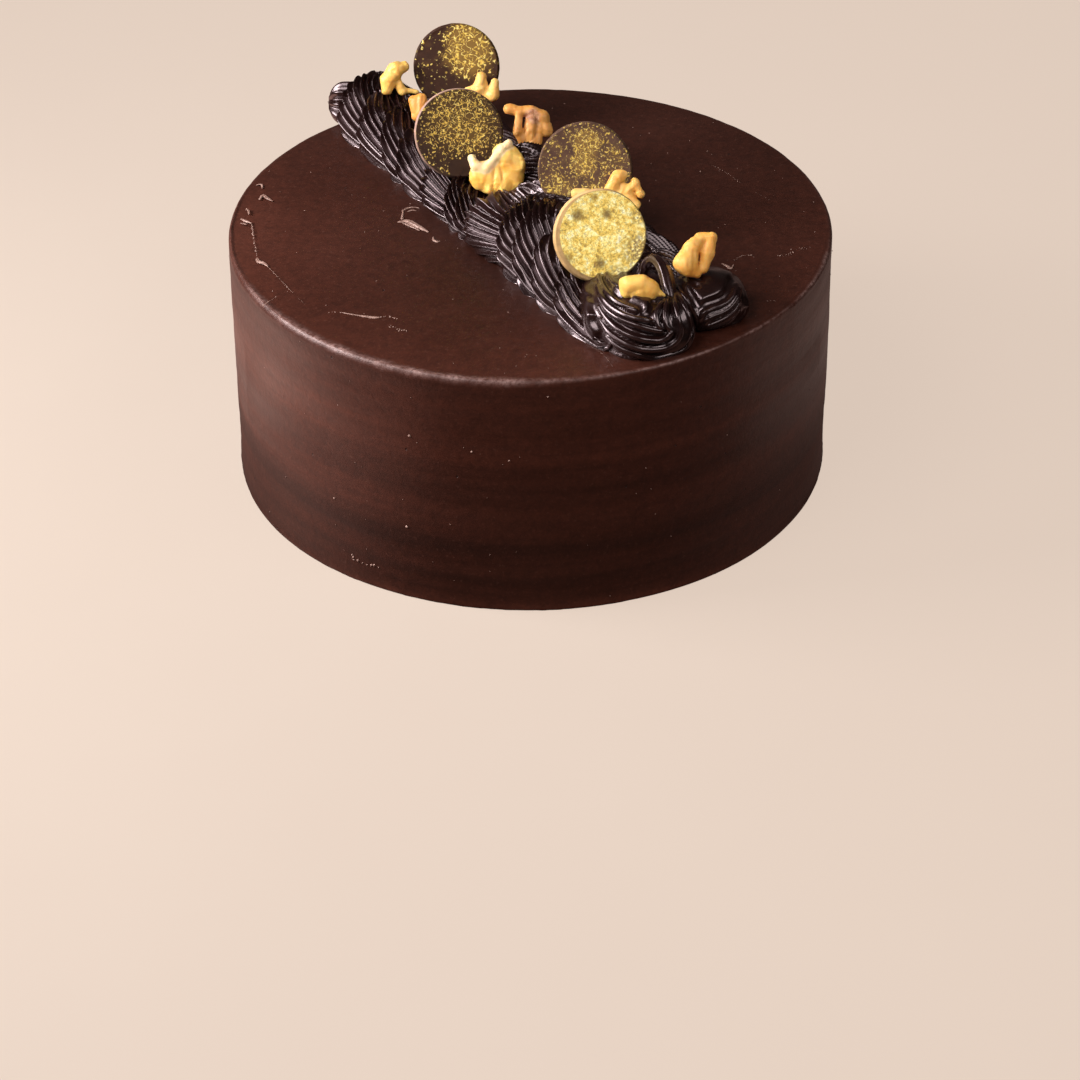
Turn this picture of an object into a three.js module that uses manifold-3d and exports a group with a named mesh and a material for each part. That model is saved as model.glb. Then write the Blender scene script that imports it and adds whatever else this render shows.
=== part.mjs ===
// Round frosted chocolate fudge cake: a solid cake body, one rope of piped
// ganache lying across its top, four round chocolate discs and nine walnut
// pieces pressed into the rope. Millimetres, +Z up, origin at the centre of
// the underside.
import * as THREE from 'three';
import { mergeVertices } from 'three/addons/utils/BufferGeometryUtils.js';
import Module from 'manifold-3d';

// ---------------------------------------------------------------- sizes (mm)
const CAKE_RADIUS = 100.0;        // at the top edge
const CAKE_FOOT_RADIUS = 100.3;   // the frosting is a touch fuller at the foot
const CAKE_HEIGHT = 86.2;
const EDGE_ROUND = 2.4;           // mean rounding of the top edge
const EDGE_ROUND_SWING = 0.9;     // the edge is rounder on one side than the other
const EDGE_ROUND_TOWARDS = THREE.MathUtils.degToRad(215);
const FOOT_ROUND = 0.9;
const CAKE_SEGMENTS = 64;

const GAP = 0.3;                  // clearance between touching pieces
const PIPING_BASE = CAKE_HEIGHT + GAP;

const ROW_ANGLE = THREE.MathUtils.degToRad(-60);  // direction of the rope across the top
const TUBE_TEETH = 8;             // ribs round the piped rope
const TUBE_RIB_DEPTH = 0.2;       // rib depth as a share of the rope's radius
const COIL_STEPS = 11;            // rings along one coil

const DISC_THICKNESS = 3.0;
const DISC_BULGE = 0.7;           // the rim swells past the flat face by this much

// ------------------------------------------------------------------ helpers
const wasm = await Module();
wasm.setup();

function toSolid(geometry) {
  let g = geometry.clone();
  g.deleteAttribute('normal');
  g.deleteAttribute('uv');
  g = mergeVertices(g, 1e-4);
  return new wasm.Manifold(new wasm.Mesh({
    numProp: 3,
    vertProperties: new Float32Array(g.attributes.position.array),
    triVerts: new Uint32Array(g.index.array),
  }));
}

function toGeometry(solid) {
  const mesh = solid.getMesh();
  const g = new THREE.BufferGeometry();
  const n = mesh.numProp;
  const positions = new Float32Array(mesh.vertProperties.length / n * 3);
  for (let i = 0; i < positions.length / 3; i++) {
    for (let k = 0; k < 3; k++) positions[i * 3 + k] = mesh.vertProperties[i * n + k];
  }
  g.setAttribute('position', new THREE.BufferAttribute(positions, 3));
  g.setIndex(new THREE.BufferAttribute(new Uint32Array(mesh.triVerts), 1));
  g.computeVertexNormals();
  return g;
}

// the largest connected piece, so that a cut leaves no loose sliver
function largest(solid) {
  const pieces = solid.decompose();
  pieces.sort((a, b) => b.volume() - a.volume());
  return pieces[0];
}

const rowU = new THREE.Vector3(Math.cos(ROW_ANGLE), Math.sin(ROW_ANGLE), 0);   // along the rope
const rowN = new THREE.Vector3(-Math.sin(ROW_ANGLE), Math.cos(ROW_ANGLE), 0);  // across it
// a point by distance along the rope, across it, and above the cake's top
const onTop = (u, n, h) => new THREE.Vector3()
  .addScaledVector(rowU, u).addScaledVector(rowN, n).setZ(CAKE_HEIGHT + h);

// repeatable unevenness between -1 and 1
const uneven = (i, salt) => Math.sin(i * 12.9898 + salt * 78.233) * 0.6 + Math.sin(i * 4.1414 + salt * 27.17) * 0.4;

// ---------------------------------------------------------------- cake body
function cakeBody() {
  const profile = [new THREE.Vector2(0, 0), new THREE.Vector2(CAKE_FOOT_RADIUS - FOOT_ROUND, 0),
    new THREE.Vector2(CAKE_FOOT_RADIUS, FOOT_ROUND),
    new THREE.Vector2((CAKE_FOOT_RADIUS + CAKE_RADIUS) / 2 - 0.1, CAKE_HEIGHT * 0.5)];
  for (let i = 0; i <= 3; i++) {
    const a = (i / 3) * Math.PI / 2;
    profile.push(new THREE.Vector2(
      CAKE_RADIUS - EDGE_ROUND * (1 - Math.cos(a)), CAKE_HEIGHT - EDGE_ROUND * (1 - Math.sin(a))));
  }
  profile.push(new THREE.Vector2(0, CAKE_HEIGHT));
  const g = new THREE.LatheGeometry(profile, CAKE_SEGMENTS);
  g.rotateX(Math.PI / 2);
  // swing the edge rounding round the cake
  const p = g.attributes.position;
  const v = new THREE.Vector3();
  for (let i = 0; i < p.count; i++) {
    v.fromBufferAttribute(p, i);
    const radial = Math.hypot(v.x, v.y);
    if (radial < CAKE_RADIUS * 0.5 || v.z < CAKE_HEIGHT - EDGE_ROUND * 1.01) continue;
    const phi = Math.atan2(v.y, v.x);
    const k = (EDGE_ROUND + EDGE_ROUND_SWING * Math.cos(phi - EDGE_ROUND_TOWARDS)) / EDGE_ROUND;
    const newRadial = CAKE_RADIUS - (CAKE_RADIUS - radial) * k;
    p.setXYZ(i, v.x * newRadial / radial, v.y * newRadial / radial, CAKE_HEIGHT - (CAKE_HEIGHT - v.z) * k);
  }
  return toGeometry(toSolid(g));
}

// ------------------------------------------------------------- ribbed rope
// A ribbed tube along a smooth curve. Each station is [u, n, h, radius]. Where
// the curve is tight the inner side of the section is held short of the centre
// of the bend, as soft ganache packs together there.
function rope(stations, rings, depth = TUBE_RIB_DEPTH) {
  const centre = new THREE.CatmullRomCurve3(stations.map(([u, n, h]) => onTop(u, n, h)), false, 'centripetal');
  const radii = stations.map((s) => s[3]);
  const radiusAt = (t) => {
    const x = t * (radii.length - 1);
    const i = Math.min(Math.floor(x), radii.length - 2);
    return THREE.MathUtils.lerp(radii[i], radii[i + 1], x - i);
  };
  const section = TUBE_TEETH * 2;
  const points = [], tangents = [];
  for (let i = 0; i < rings; i++) {
    points.push(centre.getPoint(i / (rings - 1)));
    tangents.push(centre.getTangent(i / (rings - 1)));
  }
  const positions = [];
  const up = new THREE.Vector3(0, 0, 1);
  for (let i = 0; i < rings; i++) {
    const t = tangents[i];
    const side = new THREE.Vector3().crossVectors(t, up).normalize();
    const lift = new THREE.Vector3().crossVectors(side, t).normalize();
    const a = Math.max(i - 1, 0), b = Math.min(i + 1, rings - 1);
    const bend = tangents[b].clone().sub(tangents[a]).divideScalar(points[b].distanceTo(points[a]));
    const bendSide = bend.dot(side), bendLift = bend.dot(lift);
    const r = radiusAt(i / (rings - 1));
    const pull = (x, k) => {
      if (Math.abs(k) < 1e-4 || x * k <= 0) return x;
      const limit = 0.8 / Math.abs(k);
      return Math.sign(x) * limit * Math.tanh(Math.abs(x) / limit);
    };
    for (let j = 0; j < section; j++) {
      const angle = (j / section) * 2 * Math.PI;
      const rho = r * (j % 2 === 0 ? 1 : 1 - depth);
      const x = pull(rho * Math.cos(angle), bendSide);
      const y = pull(rho * Math.sin(angle), bendLift);
      const q = points[i].clone().addScaledVector(side, x).addScaledVector(lift, y);
      positions.push(q.x, q.y, q.z);
    }
  }
  const index = [];
  for (let i = 0; i < rings - 1; i++) {
    for (let j = 0; j < section; j++) {
      const a = i * section + j, b = i * section + (j + 1) % section;
      index.push(a, b + section, b, a, a + section, b + section);
    }
  }
  const first = positions.length / 3;
  for (const [i, dir] of [[0, -1], [rings - 1, 1]]) {
    const tip = points[i].clone().addScaledVector(tangents[i], dir * radiusAt(i / (rings - 1)) * 0.25);
    positions.push(tip.x, tip.y, tip.z);
  }
  for (let j = 0; j < section; j++) {
    const k = (j + 1) % section;
    index.push(first, j, k);
    index.push(first + 1, (rings - 1) * section + k, (rings - 1) * section + j);
  }
  const g = new THREE.BufferGeometry();
  g.setAttribute('position', new THREE.BufferAttribute(new Float32Array(positions), 3));
  g.setIndex(index);
  return toSolid(g);
}

// Where each coil of the rope meets the cake on its near side, along the row.
const COIL_STARTS = [-99, -74, -53.5, -33.9, -22.6, -8.4, -0.7, 19.1, 29.8, 41.9, 59.2, 80.3];
const COIL_RADIUS = 8.35;
// One coil: up from the far side, over the crest, down the near flank while it
// runs forward, and in under the next coil. Along, across and above the top,
// counted from where it meets the cake.
const COIL = [[2, 9, 3.0], [-1, 16, 3.2], [-5, 18.5, 4.4], [-10, 15.5, 6.4], [-14.5, 7, 8.6], [-17.5, -4, 11.2],
  [-14.5, -12.5, 9.8], [-7, -17, 6.6], [3, -18, 4.2], [12, -14.5, 3.2], [17, -8, 3.0]];
// the discs press the far side of some coils down
const FAR_SIDE_DROP = [0, 1.5, 1.5, 0, 0, 0, 0, 2.4, 2.8, 0.5, 0];

function coilStations(k) {
  const first = k === 0, second = k === 1, last = k === COIL_STARTS.length - 2;
  const radius = COIL_RADIUS + 0.3 * uneven(k, 1) + (last ? 0.4 : 0);
  const rise = (first ? 0.56 : second ? 0.84 : 1) + 0.03 * uneven(k, 2);
  const inset = first ? 7 : second ? 1.5 : last ? 1 : 0;
  const at = COIL_STARTS[k] * 0.45 + COIL_STARTS[k + 1] * 0.55;
  return COIL.map(([u, n, h]) => [at + u + (first && n > 0 ? 3 : 0), n - (n > 0 ? inset : 0),
    Math.max(h * rise - (n > 0 ? FAR_SIDE_DROP[k] : 0), 1.5), radius]);
}

// the wide turn that ends the row, and the curl that the bag was lifted from
const END_TURN = [[58, 20, 5.0, 7.5], [56, 13, 7.0, 7.8], [56.5, 4, 8.4, 8.6], [59.5, -4.5, 9.6, 9.6], [65.5, -11.0, 9.0, 10.4],
  [75, -14.5, 7.4, 10.8], [84.5, -12.5, 6.8, 10.8], [90, -5, 7.0, 10.2], [90, 1.5, 8.6, 8.2], [86, 5, 11.6, 6.0],
  [80, 5, 14.2, 4.6], [74.5, 3.5, 16.0, 3.6]];
const END_CURL = [[73, 3.5, 15.5, 3.4], [79, 7, 14.0, 4.8], [85, 11.5, 10.0, 7.0], [86.5, 17, 6.6, 8.8],
  [82.5, 22.5, 6.2, 9.2], [76, 22, 7.5, 9.0], [75, 18, 10.0, 8.0], [78, 16, 12.5, 5.5]];
// the star-shaped end that the rope starts from
const START_END = [[-84, -1, 7.0, 7.4], [-90, -8, 7.4, 8.0], [-94, -15, 7.4, 8.2], [-95, -21, 7.2, 7.6]];

function pipingSolid(cutters) {
  let solid = rope(START_END, 5);
  for (let k = 0; k < COIL_STARTS.length - 1; k++) solid = solid.add(rope(coilStations(k), COIL_STEPS));
  solid = solid.add(rope(END_TURN, 15)).add(rope(END_CURL, 11));
  // the rope is packed solid inside its loops
  const core = new THREE.CapsuleGeometry(14, 140, 3, 10);
  core.rotateZ(ROW_ANGLE - Math.PI / 2);
  core.scale(1, 1, 0.75);
  const middle = onTop(-2, 0.5, 2.5);
  core.translate(middle.x, middle.y, middle.z);
  solid = solid.add(toSolid(core));
  const below = new THREE.BoxGeometry(260, 260, 60);
  below.translate(0, 0, PIPING_BASE - 30);
  solid = solid.subtract(toSolid(below));
  for (const c of cutters) solid = solid.subtract(c);
  return largest(solid);
}

// -------------------------------------------------------------------- discs
// centre, diameter, turn to the right and backward lean of the face in degrees
const DISCS = [
  { at: [-25.2, 72.4, 108.0], diameter: 30.0, turn: -4, lean: 24 },
  { at: [-23.5, 18.2, 110.2], diameter: 29.7, turn: 5, lean: 26 },
  { at: [18.1, -3.8, 108.0], diameter: 31.2, turn: -6, lean: 24 },
  { at: [21.9, -51.6, 109.7], diameter: 29.8, turn: 10, lean: 28 },
];

function discGeometry(d, grow = 0) {
  const r = d.diameter / 2 + grow, t = DISC_THICKNESS / 2 + grow;
  const profile = [new THREE.Vector2(0, -t), new THREE.Vector2(r - DISC_BULGE - 0.5, -t),
    new THREE.Vector2(r, -0.2), new THREE.Vector2(r - DISC_BULGE - 0.1, t), new THREE.Vector2(0, t)];
  return new THREE.LatheGeometry(profile, 30);
}

// the face looks towards -Y, leaned back and turned
const discTurn = (d) => new THREE.Euler(
  THREE.MathUtils.degToRad(180 - d.lean), 0, THREE.MathUtils.degToRad(d.turn), 'ZYX');

// ------------------------------------------------------------------ walnuts
// Broken walnut pieces: a body bent into an arc, with rounded folds round it.
// at: centre; size: width, depth, height; bend: how far the ends curl, in mm;
// folds: number and depth of the folds; roll, lean, turn: attitude in degrees
const WALNUTS = [
  { at: [-45.6, 65.4, 108.0], size: [8.0, 7.5, 13.0], bend: 2.4, folds: [3, 0.16], roll: 30, lean: 20, turn: 0 },
  { at: [-38.2, 49.0, 104.2], size: [7.6, 7.0, 11.0], bend: -0.8, folds: [2, 0.14], roll: -14, lean: 24, turn: -10 },
  { at: [-15.9, 62.0, 105.6], size: [13.0, 7.0, 9.0], bend: 2.4, folds: [3, 0.22], roll: -8, lean: 20, turn: 10 },
  { at: [-0.4, 34.6, 104.4], size: [16.6, 9.0, 12.0], bend: -2.6, folds: [4, 0.2], roll: 32, lean: 24, turn: 0 },
  { at: [-10.8, 2.6, 104.8], size: [18.4, 9.5, 21.0], bend: 3.0, folds: [4, 0.17], roll: -12, lean: 24, turn: -4 },
  { at: [31.0, -10.6, 104.4], size: [14.2, 9.5, 13.4], bend: -1.6, folds: [4, 0.18], roll: 40, lean: 24, turn: 6 },
  { at: [17.2, -20.8, 108.6], size: [8.0, 5.0, 6.0], bend: 0.5, folds: [3, 0.12], roll: 0, lean: 24, turn: 0 },
  { at: [51.6, -61.8, 108.0], size: [12.0, 10.5, 16.0], bend: 2.0, folds: [3, 0.18], roll: -34, lean: 22, turn: 0 },
  { at: [34.4, -78.6, 104.6], size: [17.4, 10.0, 10.4], bend: -1.2, folds: [3, 0.13], roll: 12, lean: 30, turn: 0 },
];

function walnutGeometry(w, i, grow = 0) {
  const g = new THREE.SphereGeometry(1, 12, 8);
  const p = g.attributes.position;
  const v = new THREE.Vector3();
  const [sx, sy, sz] = w.size.map((s) => s / 2 + grow);
  for (let k = 0; k < p.count; k++) {
    v.fromBufferAttribute(p, k);
    const phi = Math.atan2(v.z, v.x), rim = Math.hypot(v.x, v.z);
    const fold = w.folds[1] * Math.cos(w.folds[0] * phi + i * 1.7) * rim * rim
      + 0.07 * Math.sin(5 * phi + i) * rim * rim + 0.06 * Math.sin(4 * v.y + i * 2.3);
    v.multiplyScalar(1 + fold);
    v.set(v.x * sx, v.y * sy, v.z * sz);
    v.z += w.bend * (1 - (v.x / sx) ** 2) * -1 + w.bend * 0.5;
    p.setXYZ(k, v.x, v.y, v.z);
  }
  return g;
}
const walnutTurn = (w) => new THREE.Euler(THREE.MathUtils.degToRad(-w.lean),
  THREE.MathUtils.degToRad(w.roll), THREE.MathUtils.degToRad(w.turn), 'ZXY');

// ----------------------------------------------------------------- assembly
const placed = (geometry, euler, at) => geometry
  .applyMatrix4(new THREE.Matrix4().makeRotationFromEuler(euler))
  .translate(at[0], at[1], at[2]);

const discSolids = DISCS.map((d) => toSolid(placed(discGeometry(d), discTurn(d), d.at)));
const discClear = DISCS.map((d) => toSolid(placed(discGeometry(d, GAP), discTurn(d), d.at)));
const walnutSolids = WALNUTS.map((w, i) => toSolid(placed(walnutGeometry(w, i), walnutTurn(w), w.at)));
const walnutClear = WALNUTS.map((w, i) => toSolid(placed(walnutGeometry(w, i, GAP), walnutTurn(w), w.at)));

// walnuts give way to the discs, and a later walnut to an earlier one
for (let i = 0; i < walnutSolids.length; i++) {
  for (const c of discClear) walnutSolids[i] = walnutSolids[i].subtract(c);
  for (let j = 0; j < i; j++) walnutSolids[i] = walnutSolids[i].subtract(walnutClear[j]);
  walnutSolids[i] = largest(walnutSolids[i]);
}

const group = new THREE.Group();
function addNode(name, geometry, color, roughness) {
  const mesh = new THREE.Mesh(geometry, new THREE.MeshStandardMaterial({ color, roughness, metalness: 0 }));
  mesh.name = name;
  group.add(mesh);
}

addNode('cake_body', cakeBody(), 0x4a2a20, 0.42);
addNode('piping', toGeometry(pipingSolid([...discClear, ...walnutClear])), 0x2b1518, 0.18);
discSolids.forEach((s, i) => addNode(`disc_${i + 1}`, toGeometry(s), i === 3 ? 0xc9a44a : 0x6a4f2c, 0.35));
walnutSolids.forEach((s, i) => addNode(`walnut_${i + 1}`, toGeometry(s), i === 3 ? 0xd9a066 : 0xecc98a, 0.5));

export default group;
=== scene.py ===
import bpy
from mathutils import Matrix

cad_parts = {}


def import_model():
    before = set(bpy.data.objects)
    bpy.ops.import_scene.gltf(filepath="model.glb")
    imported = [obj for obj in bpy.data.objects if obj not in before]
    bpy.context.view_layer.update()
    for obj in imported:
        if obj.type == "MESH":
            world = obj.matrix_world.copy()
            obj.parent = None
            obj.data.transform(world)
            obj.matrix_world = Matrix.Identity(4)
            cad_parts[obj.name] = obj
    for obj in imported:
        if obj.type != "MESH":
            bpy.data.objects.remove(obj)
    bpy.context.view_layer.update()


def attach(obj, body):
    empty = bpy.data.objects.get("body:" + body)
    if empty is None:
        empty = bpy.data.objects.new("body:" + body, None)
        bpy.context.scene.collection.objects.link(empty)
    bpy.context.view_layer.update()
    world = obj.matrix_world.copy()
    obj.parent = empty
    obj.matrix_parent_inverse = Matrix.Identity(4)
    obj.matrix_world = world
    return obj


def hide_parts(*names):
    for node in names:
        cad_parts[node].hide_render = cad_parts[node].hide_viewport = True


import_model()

import math

import bpy
import numpy as np
from mathutils import Matrix, Vector

# Everything below is worked out in millimetres and turned into metres when a
# mesh is made. TOP is the height of the cake's top face.
MM = 0.001
R = 100.0
TOP = 86.2

# ------------------------------------------------------------------- camera
CAM_AT = np.array([2.44, -957.38, 611.18])
CAM_RIGHT = np.array([0.99997, -0.00424, -0.00623])
CAM_UP = np.array([0.00753, 0.56292, 0.82648])
CAM_BACK = np.array([0.0, -0.82650, 0.56293])
CAM_FOCAL = 3281.1  # in pixels of a 1080 wide frame

cam_data = bpy.data.cameras.new("camera")
cam_data.sensor_width = 36.0
cam_data.lens = CAM_FOCAL / 1080.0 * 36.0
cam_data.clip_start = 0.05
cam_data.clip_end = 60.0
camera = bpy.data.objects.new("camera", cam_data)
bpy.context.scene.collection.objects.link(camera)
camera.matrix_world = Matrix((
    (CAM_RIGHT[0], CAM_UP[0], CAM_BACK[0], CAM_AT[0] * MM),
    (CAM_RIGHT[1], CAM_UP[1], CAM_BACK[1], CAM_AT[1] * MM),
    (CAM_RIGHT[2], CAM_UP[2], CAM_BACK[2], CAM_AT[2] * MM),
    (0, 0, 0, 1)))
bpy.context.scene.camera = camera


def px_scale(p):
    """Pixels a millimetre at a point."""
    return CAM_FOCAL / float((CAM_AT - np.asarray(p)) @ CAM_BACK)


# ------------------------------------------------------------------ helpers
def hashed(i, j, k, seed):
    h = (i * 374761393 + j * 668265263 + k * 1440662683 + seed * 974634777) & 0xFFFFFFFF
    h = ((h ^ (h >> 13)) * 1274126177) & 0xFFFFFFFF
    h = ((h ^ (h >> 16)) * 2246822519) & 0xFFFFFFFF
    return ((h ^ (h >> 15)) & 0xFFFFFF) / float(0xFFFFFF) * 2 - 1


def noise(p, size, seed):
    """Smooth lattice noise between -1 and 1. size is the length of one lattice cell."""
    q = np.asarray(p, float) / size
    i = np.floor(q).astype(np.int64)
    f = q - i
    f = f * f * f * (f * (f * 6 - 15) + 10)
    out = 0
    for a in (0, 1):
        for b in (0, 1):
            for c in (0, 1):
                w = ((f[..., 0] if a else 1 - f[..., 0]) * (f[..., 1] if b else 1 - f[..., 1])
                     * (f[..., 2] if c else 1 - f[..., 2]))
                out = out + w * hashed(i[..., 0] + a, i[..., 1] + b, i[..., 2] + c, seed)
    return out


def smoothstep(a, b, x):
    t = np.clip((x - a) / (b - a), 0, 1)
    return t * t * (3 - 2 * t)


def smin(a, b, k):
    h = np.clip(0.5 + 0.5 * (b - a) / k, 0, 1)
    return b * (1 - h) + a * h - k * h * (1 - h)


def make_piece(name, verts, faces, material, attributes=None, smooth=True):
    """A mesh object from points in millimetres. faces is a list of index arrays."""
    data = bpy.data.meshes.new(name)
    polys = [f for part in faces for f in np.asarray(part).tolist()]
    data.from_pydata((np.asarray(verts) * MM).tolist(), [], polys)
    for key, values in (attributes or {}).items():
        a = data.attributes.new(key, "FLOAT", "POINT")
        a.data.foreach_set("value", np.asarray(values, np.float32))
    if smooth:
        data.polygons.foreach_set("use_smooth", np.ones(len(data.polygons), bool))
    data.materials.append(material)
    data.update()
    obj = bpy.data.objects.new(name, data)
    bpy.context.scene.collection.objects.link(obj)
    return obj


def joined(parts):
    """One set of points and faces from several (verts, faces)."""
    verts, faces, at = [], [], 0
    for v, fs in parts:
        verts.append(v)
        faces += [np.asarray(f) + at for f in fs]
        at += len(v)
    return np.vstack(verts), faces


def finish_piece(obj, nodes):
    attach(obj, "root")
    if nodes:
        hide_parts(*nodes)
    return obj


# ---------------------------------------------------------------- materials
class Material:
    def __init__(self, name):
        self.m = bpy.data.materials.new(name)
        self.m.use_nodes = True
        self.t = self.m.node_tree
        self.t.nodes.clear()
        self.out = self.t.nodes.new("ShaderNodeOutputMaterial")
        self.shader = self.t.nodes.new("ShaderNodeBsdfPrincipled")
        self.t.links.new(self.shader.outputs[0], self.out.inputs[0])

    def node(self, kind, inputs=None, **props):
        n = self.t.nodes.new(kind)
        for k, v in props.items():
            setattr(n, k, v)
        for k, v in (inputs or {}).items():
            self.put(n.inputs[k], v)
        return n

    def put(self, socket, v):
        if isinstance(v, bpy.types.NodeSocket):
            self.t.links.new(v, socket)
        else:
            socket.default_value = v

    def coords(self, kind="Object", scale=(1, 1, 1), rotation=(0, 0, 0)):
        c = self.node("ShaderNodeTexCoord").outputs[kind]
        return self.node("ShaderNodeMapping", {"Vector": c, "Scale": scale, "Rotation": rotation}).outputs[0]

    def noise(self, vector, scale, detail=2.0, rough=0.5, distortion=0.0, lac=2.0):
        return self.node("ShaderNodeTexNoise", {
            "Vector": vector, "Scale": scale, "Detail": detail, "Roughness": rough,
            "Distortion": distortion, "Lacunarity": lac}).outputs[0]

    def voronoi(self, vector, scale, feature="F1", randomness=1.0):
        return self.node("ShaderNodeTexVoronoi", {"Vector": vector, "Scale": scale, "Randomness": randomness},
                         feature=feature)

    def ramp(self, value, *stops):
        n = self.node("ShaderNodeValToRGB", {"Fac": value})
        e = n.color_ramp.elements
        while len(e) > 1:
            e.remove(e[-1])
        e[0].position, e[0].color = stops[0][0], rgba(stops[0][1])
        for pos, col in stops[1:]:
            e.new(pos).color = rgba(col)
        return n.outputs[0]

    def span(self, value, a, b, c=0.0, d=1.0):
        return self.node("ShaderNodeMapRange", {
            "Value": value, "From Min": a, "From Max": b, "To Min": c, "To Max": d}).outputs[0]

    def math(self, op, a, b=0.0, clamp=False):
        n = self.node("ShaderNodeMath", operation=op, use_clamp=clamp)
        self.put(n.inputs[0], a)
        self.put(n.inputs[1], b)
        return n.outputs[0]

    def mix(self, fac, a, b, blend="MIX"):
        n = self.node("ShaderNodeMix", data_type="RGBA", blend_type=blend)
        self.put(n.inputs[0], fac)
        self.put(n.inputs[6], rgba(a) if isinstance(a, tuple) else a)
        self.put(n.inputs[7], rgba(b) if isinstance(b, tuple) else b)
        return n.outputs[2]

    def attribute(self, name):
        return self.node("ShaderNodeAttribute", attribute_name=name).outputs["Fac"]

    def bump(self, height, strength, distance, normal=None):
        n = self.node("ShaderNodeBump", {"Height": height, "Strength": strength, "Distance": distance})
        if normal is not None:
            self.put(n.inputs["Normal"], normal)
        return n.outputs[0]

    def set(self, **sockets):
        for k, v in sockets.items():
            self.put(self.shader.inputs[k.replace("_", " ")], v)
        return self


def rgba(c):
    return c if not isinstance(c, (tuple, list)) or len(c) == 4 else (*c, 1.0)


def srgb(r, g, b):
    """Linear colour from 0 to 255 display values."""
    return tuple(((v / 255) / 12.92 if v / 255 <= 0.04045 else ((v / 255 + 0.055) / 1.055) ** 2.4) for v in (r, g, b))


def frosting_material():
    m = Material("chocolate_frosting")
    obj = m.coords()
    # long soft streaks the spatula left round the side
    band = m.coords(scale=(6, 6, 150))
    streak = m.noise(band, 1.0, detail=4, rough=0.55)
    wide = m.noise(m.coords(scale=(3.5, 3.5, 34)), 1.0, detail=2)
    cloud = m.noise(obj, 16, detail=3, rough=0.6)
    fine = m.noise(obj, 900, detail=2, rough=0.6)
    pitted = m.noise(obj, 300, detail=3, rough=0.65)
    grain = m.noise(obj, 2600, detail=1, rough=0.5)
    tone = m.math("ADD", m.math("MULTIPLY", streak, 0.35), m.math("ADD", m.math("MULTIPLY", wide, 0.3), m.math("MULTIPLY", cloud, 0.35)))
    base = m.ramp(tone, (0.36, (0.0255, 0.0064, 0.0034)), (0.5, (0.0370, 0.0096, 0.0052)), (0.64, (0.0530, 0.0146, 0.0082)))
    # painted light: the top is painted paler toward the near rim and darker in the middle and at the back, as the lamps
    # light it
    place = m.node("ShaderNodeSeparateXYZ", {"Vector": obj})
    flat = m.node("ShaderNodeCombineXYZ", {"X": place.outputs[0], "Y": place.outputs[1]}).outputs[0]
    out_from_middle = m.node("ShaderNodeVectorMath", {0: flat}, operation="LENGTH").outputs["Value"]
    on_face = m.span(place.outputs[2], (TOP - 4) * MM, (TOP - 1.5) * MM)
    painted_top_light = m.math("MULTIPLY", m.span(out_from_middle, 0.030, 0.096), m.span(place.outputs[1], 0.070, 0.010))
    painted_light_and_bands = m.span(painted_top_light, 0.0, 1.0, 0.74, 1.30)
    # level bands on the side
    level = m.noise(m.coords(scale=(1.5, 1.5, 62)), 1.0, detail=3, rough=0.6)
    bands = m.span(level, 0.38, 0.62, 0.62, 1.42)
    # on the top face this carries the painted light, on the side the level bands
    painted_light_and_bands = m.math("ADD", m.math("MULTIPLY", on_face, painted_light_and_bands), m.math("MULTIPLY", m.math("SUBTRACT", 1.0, on_face), bands))
    mottle = m.span(m.math("ADD", m.math("MULTIPLY", pitted, 0.6), m.math("MULTIPLY", fine, 0.4)), 0.35, 0.65, 0.76, 1.26)
    amount = m.math("MULTIPLY", painted_light_and_bands, mottle)
    tinted = m.node("ShaderNodeVectorMath", {0: base}, operation="SCALE")
    m.put(tinted.inputs["Scale"], amount)
    base = tinted.outputs[0]
    fleck = m.span(fine, 0.62, 0.78, 0.0, 0.45)
    base = m.mix(fleck, base, (0.075, 0.034, 0.024))
    # sparse pinholes: painted shade darkens them, and the bump below dents them
    dots = m.voronoi(obj, 130)
    hole = m.span(dots.outputs["Distance"], 0.035, 0.06, 1.0, 0.0)
    keep = m.math("GREATER_THAN", m.node("ShaderNodeSeparateColor", {"Color": dots.outputs["Color"]}).outputs[0], 0.8)
    hole = m.math("MULTIPLY", hole, keep)
    base = m.mix(m.math("MULTIPLY", hole, 0.8), base, (0.006, 0.002, 0.0015))
    rough = m.span(m.math("ADD", m.math("MULTIPLY", cloud, 0.5), m.math("MULTIPLY", streak, 0.5)), 0.35, 0.65, 0.40, 0.52)
    # painted highlight: the rounded top edge is painted paler where the lamps catch it, broken up by noise, and made a
    # little glossier
    rim = m.attribute("rim")
    broken = m.span(m.noise(obj, 620, detail=3, rough=0.65), 0.40, 0.60, 0.25, 1.0)
    wear_and_rim_highlight = m.math("MULTIPLY", rim, broken, clamp=True)
    base = m.mix(wear_and_rim_highlight, base, (0.30, 0.185, 0.165))
    rough = m.math("SUBTRACT", rough, m.math("MULTIPLY", rim, 0.10))
    n = m.bump(streak, 0.30, 0.0007)
    n = m.bump(wide, 0.30, 0.0010, n)
    n = m.bump(pitted, 0.24, 0.0005, n)
    n = m.bump(fine, 0.30, 0.00018, n)
    n = m.bump(grain, 0.08, 0.00006, n)
    n = m.bump(m.math("SUBTRACT", 1.0, hole), 0.6, 0.0004, n)
    m.set(Base_Color=base, Roughness=rough, Normal=n)
    m.shader.inputs["Specular IOR Level"].default_value = 0.34
    m.shader.inputs["Specular Tint"].default_value = (1.0, 0.86, 0.84, 1)
    m.shader.inputs["Sheen Weight"].default_value = 0.01
    m.shader.inputs["Sheen Roughness"].default_value = 0.45
    m.shader.inputs["Sheen Tint"].default_value = (0.9, 0.72, 0.66, 1)
    return m.m


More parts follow.
